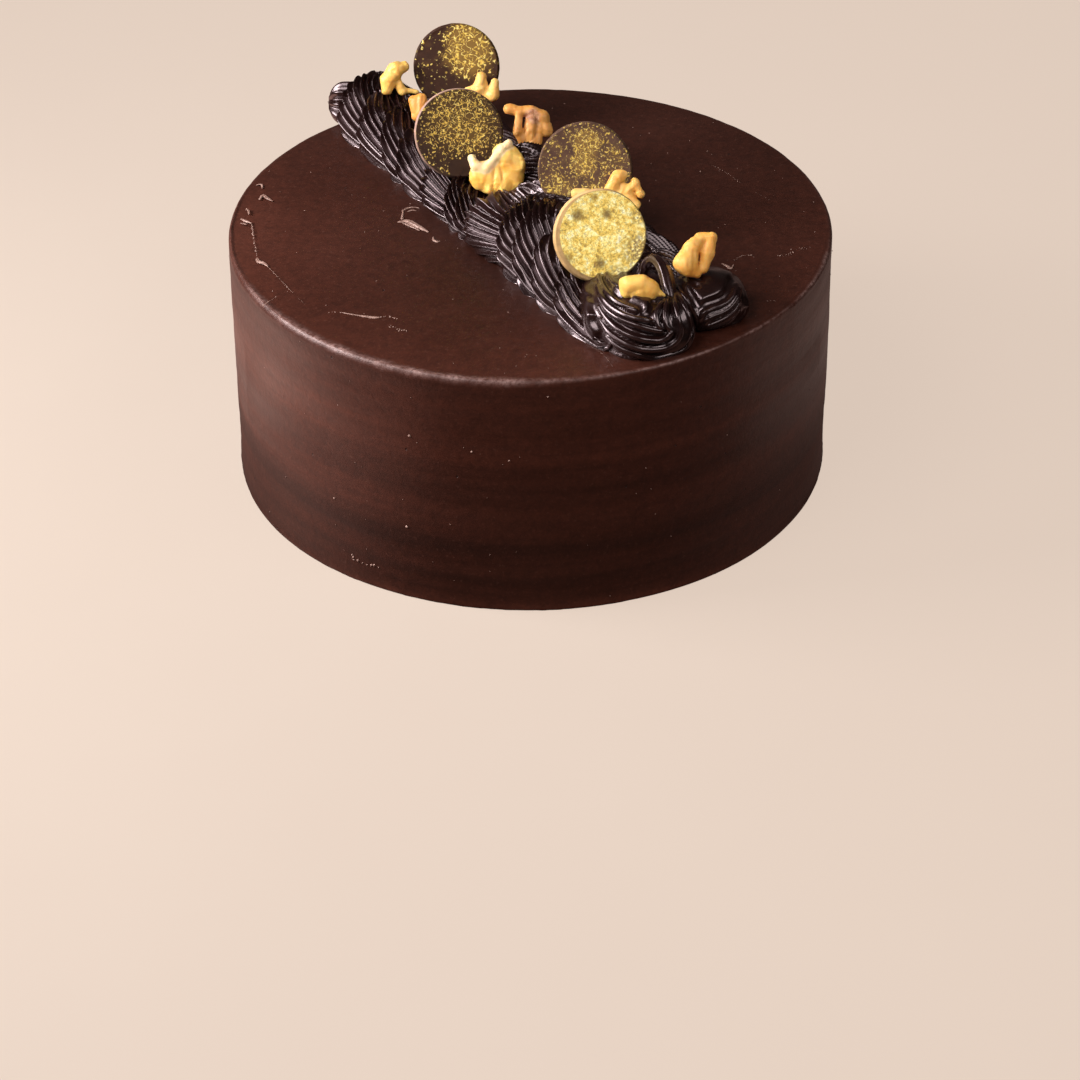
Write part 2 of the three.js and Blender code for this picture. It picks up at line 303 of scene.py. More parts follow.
def scuff_material():
    m = Material("frosting_scuffs")
    obj = m.coords()
    fine = m.noise(obj, 700, detail=3, rough=0.6)
    base = m.ramp(fine, (0.3, (0.14, 0.070, 0.052)), (0.7, (0.42, 0.27, 0.22)))
    m.set(Base_Color=base, Roughness=0.5, Normal=m.bump(fine, 0.3, 0.0002))
    return m.m


def ganache_material():
    m = Material("dark_ganache")
    obj = m.coords()
    cloud = m.noise(obj, 60, detail=2)
    fine = m.noise(obj, 1100, detail=2, rough=0.6)
    base = m.ramp(cloud, (0.35, (0.0090, 0.0034, 0.0028)), (0.65, (0.0165, 0.0064, 0.0053)))
    rough = m.span(cloud, 0.35, 0.65, 0.21, 0.30)
    n = m.bump(m.noise(obj, 240, detail=2), 0.10, 0.0004)
    n = m.bump(fine, 0.08, 0.00008, n)
    m.set(Base_Color=base, Roughness=rough, Normal=n)
    m.shader.inputs["Specular IOR Level"].default_value = 0.75
    m.shader.inputs["Specular Tint"].default_value = (1.0, 0.82, 0.85, 1)
    m.shader.inputs["Coat Weight"].default_value = 0.30
    m.shader.inputs["Coat Roughness"].default_value = 0.15
    m.shader.inputs["Coat Tint"].default_value = (1.0, 0.85, 0.85, 1)
    return m.m


def disc_material(name, blobs, spread, worms, dots, dark, rim, shift=(0.0, 0.0), gold_to=14.3, haze=0.5, smudges=(), wear_and_rim_highlight=(), leaf=False):
    """blobs: (x, y, radius, amount) in mm on the face, where the gold lies thick."""
    m = Material(name)
    obj = m.coords()  # the disc's own frame: x, y in the face
    sep = m.node("ShaderNodeSeparateXYZ", {"Vector": obj})
    x, y = sep.outputs[0], sep.outputs[1]
    flat = m.node("ShaderNodeCombineXYZ", {"X": x, "Y": y}).outputs[0]

    def away(bx, by):
        d = m.node("ShaderNodeVectorMath", operation="DISTANCE")
        m.put(d.inputs[0], flat)
        d.inputs[1].default_value = (bx * MM, by * MM, 0)
        return d.outputs["Value"]

    def blob(bx, by, br):
        return m.node("ShaderNodeMapRange", {"Value": away(bx, by), "From Min": br * MM, "From Max": br * MM * 0.2},
                      interpolation_type="SMOOTHSTEP").outputs[0]

    density = spread
    for bx, by, br, amount in blobs:
        density = m.math("ADD", density, m.math("MULTIPLY", blob(bx, by, br), amount))
    uneven = m.noise(flat, 230, detail=3, rough=0.6)
    density = m.math("ADD", density, m.math("MULTIPLY", m.math("SUBTRACT", uneven, 0.5), 0.9))
    # thin wandering flecks: contour lines of a noise, broken into short pieces
    field = m.noise(flat, worms, detail=1.5, rough=0.55, distortion=0.8)
    line = m.span(m.math("ABSOLUTE", m.math("SUBTRACT", field, 0.5)), 0.012, 0.045, 1.0, 0.0)
    pieces = m.noise(flat, worms * 1.5, detail=1.0)
    keep = m.span(m.math("ADD", pieces, m.math("MULTIPLY", m.math("SUBTRACT", density, 0.5), 0.5)), 0.44, 0.54)
    line = m.math("MULTIPLY", line, keep)
    # and rounder drops
    cells = m.voronoi(flat, dots)
    drop = m.span(cells.outputs["Distance"], 0.14, 0.30, 1.0, 0.0)
    some = m.node("ShaderNodeSeparateColor", {"Color": cells.outputs["Color"]}).outputs[0]
    drop = m.math("MULTIPLY", drop, m.span(m.math("ADD", some, m.math("MULTIPLY", density, 0.6)), 0.90, 1.05))
    gold = m.math("MAXIMUM", line, drop)
    veil = m.math("MULTIPLY", m.span(density, 0.25, 1.1), haze, clamp=True)
    shade = m.noise(flat, 420, detail=3, rough=0.6)
    choc = m.ramp(shade, (0.3, dark), (0.7, tuple(v * 1.6 for v in dark)))
    tone = m.noise(flat, 700, detail=2, rough=0.6)
    if leaf:
        # nearly closed leaf with fine wrinkles, rubbed away in places
        cover = m.span(m.math("ADD", uneven, m.math("MULTIPLY", m.noise(flat, 900, detail=3, rough=0.7), 0.5)), 0.50, 0.62)
        for bx, by, br, amount in wear_and_rim_highlight:
            cover = m.math("SUBTRACT", cover, m.math("MULTIPLY", m.math("MULTIPLY", blob(bx, by, br), amount), m.span(pieces, 0.35, 0.6)), clamp=True)
        metal = m.ramp(m.math("ADD", m.math("MULTIPLY", m.noise(flat, 240, detail=4, rough=0.75), 0.6), m.math("MULTIPLY", tone, 0.4)),
                       (0.38, (0.46, 0.28, 0.06)), (0.46, (0.92, 0.66, 0.14)), (0.54, (1.0, 0.88, 0.34)), (0.62, (1.0, 1.0, 0.74)))
        metal = m.mix(m.math("MULTIPLY", line, 0.62), metal, (0.40, 0.25, 0.06))
        wash = m.mix(0.35, choc, (0.62, 0.42, 0.13))
        gold = m.math("MAXIMUM", cover, m.math("MULTIPLY", gold, 0.8))
        choc = wash
    else:
        metal = m.ramp(tone, (0.34, (0.44, 0.27, 0.045)), (0.50, (0.80, 0.54, 0.10)), (0.64, (1.0, 0.82, 0.26)))
        choc = m.mix(veil, choc, (0.36, 0.205, 0.042))
    for bx, by, br, amount in smudges:
        spot = m.math("MULTIPLY", blob(bx, by, br), amount)
        metal = m.mix(m.math("MULTIPLY", spot, m.span(m.noise(flat, 500, detail=2), 0.3, 0.6, 0.6, 1.0)), metal, (0.16, 0.095, 0.035))
    # no gold on the rim and on the sides
    edge = m.span(away(*shift), gold_to * MM, (gold_to + 0.35) * MM)
    gold = m.math("MULTIPLY", gold, m.math("SUBTRACT", 1.0, edge))
    # painted light: the rim and sides take a pale colour, painted lighter toward the upper left where the left lamps
    # catch them and darker toward the lower right
    painted_light_rim_color = m.ramp(m.math("ADD", m.math("MULTIPLY", shade, 0.5), m.span(m.math("SUBTRACT", y, x), -0.020, 0.020, 0.0, 0.5)),
                       (0.35, tuple(v * 0.30 for v in rim)), (0.75, rim))
    base = m.mix(edge, m.mix(gold, choc, metal), painted_light_rim_color)
    m.set(Base_Color=base, Metallic=m.math("MULTIPLY", gold, 0.10 if leaf else 0.25), Roughness=m.span(gold, 0.0, 1.0, 0.50, 0.36))
    n = m.bump(m.noise(flat, 260, detail=3, rough=0.6), 0.25, 0.0004)
    n = m.bump(gold, 0.4, 0.00012, n)
    n = m.bump(m.noise(obj, 1500, detail=2), 0.15, 0.00012, n)
    m.set(Normal=n)
    m.shader.inputs["Specular IOR Level"].default_value = 0.22
    return m.m


def walnut_material(name, pale, mid, deep):
    m = Material(name)
    obj = m.coords()
    patch = m.noise(obj, 150, detail=3, rough=0.55)
    fine = m.noise(obj, 900, detail=3, rough=0.6)
    pale, mid, deep = (tuple(v * k for v, k in zip(c, (1.0, 0.96, 0.80))) for c in (pale, mid, deep))
    base = m.ramp(m.math("ADD", m.math("MULTIPLY", patch, 0.8), m.math("MULTIPLY", fine, 0.2)), (0.36, mid), (0.62, pale))
    crease = m.attribute("crease")
    base = m.mix(m.math("MULTIPLY", crease, 0.9, clamp=True), base, deep)
    base = m.mix(m.attribute("cream"), base, (0.93, 0.71, 0.38))
    vein = m.span(m.noise(m.coords(scale=(1, 1, 1)), 420, detail=3, rough=0.7, distortion=1.2), 0.42, 0.6)
    skin = m.mix(vein, (0.34, 0.145, 0.07), (0.62, 0.33, 0.18))
    base = m.mix(m.attribute("skin"), base, skin)
    n = m.bump(m.noise(obj, 330, detail=3, rough=0.6), 0.25, 0.0006)
    n = m.bump(fine, 0.15, 0.0002, n)
    m.set(Base_Color=base, Roughness=m.span(patch, 0.3, 0.7, 0.36, 0.5), Normal=n)
    m.shader.inputs["Specular IOR Level"].default_value = 0.34
    m.shader.inputs["Subsurface Weight"].default_value = 0.25
    m.shader.inputs["Subsurface Radius"].default_value = (1.0, 0.55, 0.22)
    m.shader.inputs["Subsurface Scale"].default_value = 0.0018
    return m.m


FROSTING = frosting_material()
SCUFF = scuff_material()
GANACHE = ganache_material()


# ----------------------------------------------------------------- frosting
def edge_round(phi):
    """Rounding of the top edge, in mm: wide at the left front, tight and beaded at the right."""
    d = np.degrees(phi) % 360
    e = 1.5 + 0 * d
    e = e + 2.0 * np.exp(-((d - 228) / 34.0) ** 2)
    e = e + 1.1 * np.exp(-((d - 262) / 12.0) ** 2)
    e = e - 0.55 * np.exp(-((d - 312) / 26.0) ** 2)
    e = e + 0.3 * np.exp(-((d - 90) / 60.0) ** 2)
    return e


def frosting_piece():
    count = 640
    phi = np.arange(count) / count * 2 * np.pi
    c, s = np.cos(phi), np.sin(phi)
    e = edge_round(phi)
    ring = np.stack([c * 100, s * 100, 0 * c], -1)
    e = e * (1 + 0.10 * noise(ring, 9, 11) + 0.08 * noise(ring, 3, 12))
    right_lip = smoothstep(283, 292, np.degrees(phi)) * (1 - smoothstep(348, 358, np.degrees(phi)))

    def wall(z):
        """Radius of the side at a height."""
        p = np.stack([c * 100, s * 100, z + 0 * c], -1)
        q = p * np.array([0.18, 0.18, 1.0])
        out = R - 0.15 + 0.3 * (1 - z / TOP)
        out = out + 0.20 * noise(q, 13, 1) + 0.11 * noise(q, 5.2, 2) + 0.05 * noise(q, 2.4, 3)
        out = out + 0.12 * noise(p, 42, 4)
        # a lower band pressed a little flatter, where the spatula was lifted
        out = out - 0.12 * smoothstep(24, 20, z + 2.2 * noise(p * np.array([1, 1, 0]), 30, 5)) * smoothstep(0, 8, z)
        return out

    deg = np.degrees(phi)
    # painted highlight on the top edge: how strongly each side of the rim is painted paler, most at the left front and
    # on the right where the lamps catch it
    rim_highlight_weight = (0.10 + 0.62 * smoothstep(196, 214, deg) * (1 - smoothstep(262, 276, deg)) + 0.30 * smoothstep(262, 276, deg) * (1 - smoothstep(284, 292, deg))
                  + 0.52 * smoothstep(284, 292, deg) * (1 - smoothstep(346, 356, deg)))
    rim_highlight_weight = rim_highlight_weight * (0.75 + 0.45 * noise(ring, 6, 61))
    rows, rims = [], {}
    foot = 0.35 + 0.25 * noise(ring, 4.5, 21) + 0.2 * noise(ring, 1.7, 22)
    for z, grow in ((0.0, -0.5), (0.18, 0.05), (0.5, 0.28), (1.0, 0.32), (1.7, 0.12), (2.5, 0.02)):
        r = wall(z) + grow * foot * 1.2
        rows.append((r, z + 0 * c))
    z = 3.4
    while z < TOP - 4.4:
        rows.append((wall(z), z + 0 * c))
        z += 1.12
    top_of_wall = TOP - 3.7
    lip_beads = 0.10 + 0.20 * np.clip(noise(ring, 2.3, 31), 0, 1) + 0.10 * noise(ring, 1.1, 32)
    for k in range(4):
        f = k / 4
        h = (TOP - 4.3) * (1 - f) + (TOP - e) * f if k else (TOP - 4.3) + 0 * e
        rows.append((wall(h), h))
    steps = 11

    def droop(x, y):
        """The top falls off a little toward the left and front rim."""
        d = np.degrees(np.arctan2(y, x)) % 360
        side = smoothstep(150, 178, d) * (1 - smoothstep(262, 284, d))
        return -0.85 * side * smoothstep(78, 99, np.hypot(x, y)) ** 1.3

    surface = lambda x, y: (TOP - 0.04 + droop(x, y) + 0.10 * noise(np.stack([x, y, 0 * x], -1), 34, 41)
                            + 0.05 * noise(np.stack([x, y * 0.4, 0 * x], -1), 9, 42)
                            + 0.018 * noise(np.stack([x, y, 0 * x], -1), 3.1, 43))
    for k in range(steps + 1):
        a = k / steps * np.pi / 2
        r0 = wall(TOP - e)
        r = r0 - e * (1 - np.cos(a))
        zz = TOP - e + e * np.sin(a)
        blend = smoothstep(0.5, 1.0, k / steps)
        zz = zz + blend * (surface(r * c, r * s) - TOP)
        bead = right_lip * lip_beads * np.exp(-((k / steps - 0.55) / 0.28) ** 2)
        r = r + bead * np.cos(a)
        zz = zz + bead * (np.sin(a) + 0.3)
        rims[len(rows)] = rim_highlight_weight * math.exp(-((k / steps - 0.58) / (0.16 if e.max() < 2 else 0.30)) ** 2)
        rows.append((r, zz))
    inner = rows[-1][0]
    depth = 0.0
    step = 0.5
    while depth < 97.0:
        depth += step
        step = min(step * 1.16, 2.0)
        f = np.clip(depth / 97.0, 0, 1)
        r = inner * (1 - f)
        if r.min() < 1.2:
            break
        lip = right_lip * 0.22 * np.exp(-(depth / 1.3) ** 2)
        rows.append((r, surface(r * c, r * s) + lip))
    verts = [np.stack([r * c, r * s, z + 0 * c], -1) for r, z in rows]
    n = len(verts)
    verts = np.vstack(verts + [np.array([[0, 0, 0.0]]), np.array([[0, 0, float(surface(np.zeros(1), np.zeros(1))[0])]])])
    j = np.arange(count)
    k = (j + 1) % count
    quads = np.vstack([np.stack([i * count + j, i * count + k, (i + 1) * count + k, (i + 1) * count + j], 1) for i in range(n - 1)])
    low = np.stack([np.full(count, n * count), k, j], 1)
    high = np.stack([np.full(count, n * count + 1), (n - 1) * count + j, (n - 1) * count + k], 1)
    # the painted rim highlight, per point, read by the frosting material
    rim = np.zeros(len(verts))
    for row, weight in rims.items():
        rim[row * count:(row + 1) * count] = np.clip(weight, 0, 1)
    return make_piece("frosted_cake", verts, [quads, low, high], FROSTING, {"rim": rim})


finish_piece(frosting_piece(), ["cake_body"])


# ------------------------------------------------------------- marks on it
def crumb(at, size, seed, flat=0.6):
    """A small rough lump: a sphere of a few faces pushed in and out."""
    rings, seg = 5, 8
    v = []
    for i in range(1, rings):
        a = i / rings * np.pi
        for j in range(seg):
            b = (j + 0.5 * (i % 2)) / seg * 2 * np.pi
            v.append((np.sin(a) * np.cos(b), np.sin(a) * np.sin(b), np.cos(a)))
    v = np.array(v + [(0, 0, 1), (0, 0, -1)], float)
    v *= (1 + 0.35 * noise(v * 1.3 + seed * 3.7, 0.9, seed))[:, None]
    f = []
    m = rings - 1
    for i in range(m - 1):
        for j in range(seg):
            k = (j + 1) % seg
            f.append((i * seg + j, (i + 1) * seg + j, (i + 1) * seg + k, i * seg + k))
    t = []
    for j in range(seg):
        k = (j + 1) % seg
        t.append((m * seg, j, k))
        t.append((m * seg + 1, (m - 1) * seg + k, (m - 1) * seg + j))
    v = v * np.array([size, size, size * flat]) + np.asarray(at)
    return v, [np.array(f), np.array(t)]


# -------------------------------------------------------------------- tubes
def spline(points, per):
    p = np.array(points, float)
    p = np.vstack([2 * p[0] - p[1], p, 2 * p[-1] - p[-2]])
    out = []
    for i in range(1, len(p) - 2):
        t = np.linspace(0, 1, per, endpoint=False)[:, None]
        a, b, c, d = p[i - 1], p[i], p[i + 1], p[i + 2]
        out.append(0.5 * ((2 * b) + (-a + c) * t + (2 * a - 5 * b + 4 * c - d) * t ** 2 + (-a + 3 * b - 3 * c + d) * t ** 3))
    out.append(p[-2][None])
    return np.vstack(out)


def resampled(path, count):
    s = np.r_[0, np.cumsum(np.linalg.norm(np.diff(path[:, :3], axis=0), axis=1))]
    q = np.linspace(0, s[-1], count)
    return np.stack([np.interp(q, s, path[:, k]) for k in range(path.shape[1])], 1)


def box_smooth(x, w):
    return np.convolve(np.pad(x, w, mode="edge"), np.ones(2 * w + 1) / (2 * w + 1), "valid")


def ribbed_tube(path, teeth=15, depth=0.24, step=1.1, seed=1, phase=0.0, twist=0.0, closed=(0.0, 0.0), round_ends=(0.0, 0.0),
                sharp=0.10, squash=1.0, floor_at=None, wobble=1.0, per_tooth=10):
    """A piped strand along path rows x, y, z, radius: thin ridges with wide hollow valleys between."""
    length = np.linalg.norm(np.diff(path[:, :3], axis=0), axis=1).sum()
    rings = max(8, int(length / step))
    p = resampled(path, rings)
    centre, radius = p[:, :3], p[:, 3].copy()
    t = np.gradient(centre, axis=0)
    t /= np.linalg.norm(t, axis=1)[:, None]
    side = np.cross(t, [0, 0, 1.0])
    side /= np.linalg.norm(side, axis=1)[:, None] + 1e-9
    lift = np.cross(side, t)
    ds = np.linalg.norm(np.gradient(centre, axis=0), axis=1)
    bend = np.gradient(t, axis=0) / ds[:, None]
    k_side = box_smooth((bend * side).sum(1), 3)
    k_lift = box_smooth((bend * lift).sum(1), 3)
    local = np.array([-0.5, -0.37, -0.25, -0.15, -0.07, 0.0, 0.07, 0.15, 0.25, 0.37])
    if per_tooth == 8:
        local = np.array([-0.5, -0.33, -0.19, -0.08, 0.0, 0.08, 0.19, 0.33])
    tooth = np.repeat(np.arange(teeth), len(local))
    u = np.tile(local, teeth)
    section = len(u)
    # 0 on a ridge, 1 in the middle of a valley
    v = np.sqrt((np.abs(u) * 2) ** 2 + sharp ** 2) - sharp
    hollow = 1 - (1 - np.clip(v / (np.sqrt(1 + sharp ** 2) - sharp), 0, 1)) ** 2.0
    arc = np.arange(rings) * (length / (rings - 1))
    along_end = np.minimum(arc, length)
    verts = []
    for i in range(rings):
        f = i / (rings - 1)
        where = np.stack([tooth * 3.1 + seed * 7.7, np.full(section, arc[i]), np.zeros(section)], -1)
        shift = 0.10 * wobble * noise(where * [1, 1 / 9.0, 1], 1.0, seed)
        high = 1 + 0.035 * wobble * noise(where * [1, 1 / 7.0, 1] + 50, 1.0, seed + 1)
        deep = depth * (1 + 0.22 * wobble * noise(where * [1, 1 / 11.0, 1] + 90, 1.0, seed + 2))
        ang = (tooth + u + shift) / teeth * 2 * np.pi + phase + twist * f
        rho = radius[i] * (high - deep * hollow)
        if round_ends[0] > 0 and arc[i] < round_ends[0]:
            rho = rho * math.sqrt(max(1 - (1 - arc[i] / round_ends[0]) ** 2, 0.0004))
        if round_ends[1] > 0 and length - arc[i] < round_ends[1]:
            rho = rho * math.sqrt(max(1 - (1 - (length - arc[i]) / round_ends[1]) ** 2, 0.0004))
        x, y = rho * np.cos(ang), rho * np.sin(ang) * squash
        for k, is_side in ((k_side[i], True), (k_lift[i], False)):
            if abs(k) < 1e-4:
                continue
            lim, sg = 0.82 / abs(k), np.sign(k)
            w = x if is_side else y
            w = np.where(w * sg > 0, sg * lim * np.tanh(np.abs(w) / lim), w)
            if is_side:
                x = w
            else:
                y = w
        verts.append(centre[i] + x[:, None] * side[i] + y[:, None] * lift[i])
    verts = np.vstack(verts)
    verts = np.vstack([verts, centre[0] - t[0] * closed[0], centre[-1] + t[-1] * closed[1]])
    if floor_at is not None:
        low = verts[:, 2] < floor_at + 0.5
        verts[low, 2] = floor_at + 0.5 * np.exp((verts[low, 2] - floor_at - 0.5) / 0.5)
    j = np.arange(section)
    k = (j + 1) % section
    quads = np.vstack([np.stack([i * section + j, (i + 1) * section + j, (i + 1) * section + k, i * section + k], 1) for i in range(rings - 1)])
    n = rings * section
    a = np.stack([np.full(section, n), j, k], 1)
    b = np.stack([np.full(section, n + 1), (rings - 1) * section + k, (rings - 1) * section + j], 1)
    return verts, [quads, a, b]


# -------------------------------------------------------- blended solids
def cone(p, a, ra, b, rb):
    """Distance to a rounded rod from a to b with end radii ra and rb."""
    a, b = np.asarray(a, float), np.asarray(b, float)
    d = b - a
    t = np.clip(((p - a) @ d) / (d @ d), 0, 1)
    return np.linalg.norm(p - a - t[:, None] * d, axis=1) - (ra + (rb - ra) * t)


def egg(p, at, radii, turn=0.0):
    q = p - np.asarray(at, float)
    ct, st = math.cos(turn), math.sin(turn)
    q = np.stack([q[:, 0] * ct + q[:, 1] * st, -q[:, 0] * st + q[:, 1] * ct, q[:, 2]], -1)
    r = np.asarray(radii, float)
    k0 = np.linalg.norm(q / r, axis=1)
    k1 = np.linalg.norm(q / r ** 2, axis=1) + 1e-9
    return k0 * (k0 - 1) / k1


def surface_net(f, lo, hi, step):
    """Points and quads of the surface f = 0 on a grid."""
    axes = [np.arange(lo[a], hi[a] + step, step) for a in range(3)]
    grid = np.stack(np.meshgrid(*axes, indexing="ij"), -1)
    shape = grid.shape[:3]
    d = f(grid.reshape(-1, 3)).reshape(shape)
    cells = tuple(n - 1 for n in shape)
    total = cells[0] * cells[1] * cells[2]
    acc = np.zeros((3, total))
    cnt = np.zeros(total)
    edges = []
    for ax in range(3):
        sl0 = [slice(None)] * 3
        sl1 = [slice(None)] * 3
        sl0[ax], sl1[ax] = slice(0, -1), slice(1, None)
        a, b = d[tuple(sl0)], d[tuple(sl1)]
        idx = np.argwhere((a < 0) != (b < 0))
        va, vb = a[tuple(idx.T)], b[tuple(idx.T)]
        t = va / (va - vb)
        pos = np.stack([axes[k][idx[:, k]] for k in range(3)], -1)
        pos[:, ax] += t * step
        o1, o2 = [k for k in range(3) if k != ax]
        quad = []
        ok = np.ones(len(idx), bool)
        for s1, s2 in ((0, 0), (1, 0), (1, 1), (0, 1)):
            cell = idx.copy()
            cell[:, o1] -= s1
            cell[:, o2] -= s2
            good = np.all((cell >= 0) & (cell < np.array(cells)), axis=1)
            ok &= good
            flat = np.where(good, (cell[:, 0] * cells[1] + cell[:, 1]) * cells[2] + cell[:, 2], 0)
            for k in range(3):
                acc[k] += np.bincount(flat[good], weights=pos[good, k], minlength=total)
            cnt += np.bincount(flat[good], minlength=total)
            quad.append(flat)
        quad = np.stack(quad, 1)[ok]
        flip = (va < 0)[ok]
        if ax == 1:
            flip = ~flip
        quad[flip] = quad[flip][:, ::-1]
        edges.append(quad)
    used = np.nonzero(cnt)[0]
    index = np.full(total, -1)
    index[used] = np.arange(len(used))
    verts = (acc[:, used] / cnt[used]).T
    return verts, index[np.vstack(edges)]


def relax(verts, quads, rounds, amount):
    a = np.r_[quads[:, 0], quads[:, 1], quads[:, 2], quads[:, 3]]
    b = np.r_[quads[:, 1], quads[:, 2], quads[:, 3], quads[:, 0]]
    n = len(verts)
    deg = np.bincount(a, minlength=n) + np.bincount(b, minlength=n)
    v = verts.copy()
    for _ in range(rounds):
        mean = np.stack([np.bincount(a, weights=v[b, k], minlength=n) + np.bincount(b, weights=v[a, k], minlength=n) for k in range(3)], 1) / deg[:, None]
        v += amount * (mean - v)
    return v


def normals_of(verts, quads):
    d1 = verts[quads[:, 2]] - verts[quads[:, 0]]
    d2 = verts[quads[:, 3]] - verts[quads[:, 1]]
    fn = np.cross(d1, d2)
    n = np.zeros_like(verts)
    for k in range(4):
        for a in range(3):
            n[:, a] += np.bincount(quads[:, k], weights=fn[:, a], minlength=len(verts))
    return n / (np.linalg.norm(n, axis=1)[:, None] + 1e-12)


def blended_solid(body, lo, hi, step, rounds=3):
    """The largest closed surface of body = 0 in a box, as points and quads that face outward."""
    verts, quads = surface_net(body, lo, hi, step)
    label = np.arange(len(verts))
    while True:
        m = label[quads].min(1)
        new = label.copy()
        for k in range(4):
            np.minimum.at(new, quads[:, k], m)
        if (new == label).all():
            break
        label = new[new]
    ids, counts = np.unique(label, return_counts=True)
    keep = label == ids[counts.argmax()]
    remap = np.cumsum(keep) - 1
    quads = remap[quads[keep[quads].all(1)]]
    verts = relax(verts[keep], quads, rounds, 0.5)
    if (verts[quads[:, 0]] * np.cross(verts[quads[:, 1]], verts[quads[:, 2]])).sum() < 0:
        quads = quads[:, ::-1]
    return verts, quads


# ------------------------------------------------------------------- piping
ROW_U = np.array([0.5, -0.8660254, 0.0])
ROW_N = np.array([0.8660254, 0.5, 0.0])
FLOOR = TOP - 0.25


def on_top(u, n, h):
    return ROW_U * u + ROW_N * n + np.array([0, 0, TOP + h])


def station_path(stations, per=8):
    return spline([np.r_[on_top(u, n, h), r] for u, n, h, r in stations], per)


# The rope is a row of shingled shells. A section across it is given as n, h
# from the near foot over the crest to the far foot; a place on it is given by
# u along the row and the arc length from the near foot.
SECTION = [(-19.5, -0.3), (-21.6, 0.6), (-22.4, 2.6), (-22.0, 5.6), (-20.1, 9.4), (-16.9, 13.0), (-12.5, 16.0), (-7.5, 17.6),
           (-1.5, 17.3), (5.0, 16.0), (11.0, 13.7), (16.0, 10.8), (20.0, 7.4), (22.4, 4.2), (23.0, 2.0), (22.2, 0.4), (20.5, -0.3)]
_dense = spline(SECTION, 20)
_arc = np.r_[0, np.cumsum(np.linalg.norm(np.diff(_dense, axis=0), axis=1))]
ARC = float(_arc[-1])
CREST = float(_arc[140])
NEAR_RISE = ([-112, -106, -98, -91, -83, -75, -60, -48, -34, -22, -12, -4, 4, 8.5, 13.7, 20, 30, 38, 48, 56, 62, 70, 90],
             [0.55, 0.70, 0.85, 0.86, 0.80, 0.86, 0.80, 0.72, 0.62, 0.58, 0.57, 0.60, 0.66, 0.73, 0.84, 1.0, 1.05, 0.98, 0.78, 0.66, 0.66, 0.70, 0.62])
FAR_RISE = ([-110, -96, -88, -75, -60, -45, -30, -20, -8, 4, 20, 35, 50, 62, 90],
            [0.50, 0.56, 0.62, 0.66, 0.62, 0.66, 0.80, 0.98, 0.92, 0.74, 0.72, 0.90, 0.95, 0.80, 0.70])
# The trough along the middle, where the discs and nuts are pressed in.
TROUGH = ([-112, -92, -80, -70, -48, -34, -22, -10, 0, 8, 30, 38, 46, 60, 70, 90],
          [0.95, 0.90, 0.82, 0.85, 0.72, 0.66, 0.62, 0.62, 0.85, 0.95, 1.0, 0.85, 0.66, 0.62, 0.80, 0.85])
FAR_REACH = ([-110, -95, -85, -75, -60, 0, 90], [0.30, 0.34, 0.45, 0.68, 0.90, 1, 1])

# Left edge of each shell: (arc from the near foot, u).
EDGES = [
    [(0, -85), (7.3, -89.5), (12.2, -92.5), (17.1, -95), (22, -96), (28.6, -95)],
    [(0, -72), (7.3, -75), (12.2, -78), (17.1, -81), (22, -86), (28.6, -89)],
    [(0, -50), (5.1, -53.2), (7.8, -57), (11, -61), (14, -64.5), (17.7, -67.5), (20.9, -70), (28.6, -72)],
    [(0, -41), (6, -44.8), (8.4, -47.5), (11.6, -50.2), (14.9, -53.5), (19.5, -55.2), (28.6, -55)],
    [(0, -24), (5.6, -28.5), (7.8, -30.8), (9.8, -32.2), (12.2, -33.5), (17, -35.5), (28.6, -38)],
    [(0, -9), (7.9, -14.2), (9.9, -16.5), (12.1, -18), (14.9, -19.8), (22, -24.5), (28.6, -26)],
    [(0, -2), (6.4, -6.8), (9.3, -8.5), (12.5, -11), (17.6, -15.5), (22, -17.5), (28.6, -17.5)],
    [(0, 3), (2.9, 0.8), (6.5, 0), (9.3, -1.8), (11.5, -3.8), (13.9, -4.5), (20, -5.5), (28.6, -7)],
    [(0, 27), (4.9, 23.5), (8.4, 21.5), (11.1, 19.2), (13.7, 17), (16.7, 14.5), (18.9, 12), (24.4, 10.2), (28.6, 9)],
    [(0, 38), (5.1, 34.5), (8.1, 32), (11.1, 29), (13.6, 27.5), (16.7, 25.5), (19, 25), (25.2, 22), (28.6, 21)],
    [(0, 49), (4.3, 45.8), (7.2, 44.8), (11, 41.8), (13.7, 38.8), (15.4, 38), (24, 36), (28.6, 35)],
    [(0, 62), (2.7, 60.5), (7.2, 58.5), (10.7, 55), (12.8, 53.5), (15.6, 52), (18.4, 50), (28.6, 47)],
    [(0, 84), (8.8, 80), (11.1, 76), (14.3, 71.2), (17, 69.2), (21.4, 65.5), (28.6, 62)],
]
# How much the strands of each shell climb on their way to the right at its foot.
CLIMB = [0.0, 0.0, 0.0, 0.0, 0.10, -0.1, -0.1, 0.22, 0.0, 0.0, 0.0, 0.0]
# How steeply they leave the left edge.
SWEEP = [1.0, 1.0, 1.0, 1.0, 0.4, 1.0, 0.9, 0.15, 0.8, 1.0, 1.0, 1.0]


def rope_base(u, arc):
    n = np.interp(arc, _arc, _dense[:, 0])
    h = np.interp(arc, _arc, _dense[:, 1])
    reach = np.interp(u, *FAR_REACH)
    n = np.where(n > -7.5, -7.5 + (n + 7.5) * reach, n)
    w = smoothstep(-9.0, 6.0, n)
    h = h * (1 - (1 - np.interp(u, *TROUGH)) * smoothstep(-16, -10, n) * (1 - smoothstep(4, 14, n)))
    h = h * (np.interp(u, *NEAR_RISE) * (1 - w) + np.interp(u, *FAR_RISE) * w)
    return ROW_U * u[..., None] + ROW_N * n[..., None] + np.array([0, 0, TOP]) + np.array([0, 0, 1.0]) * h[..., None]


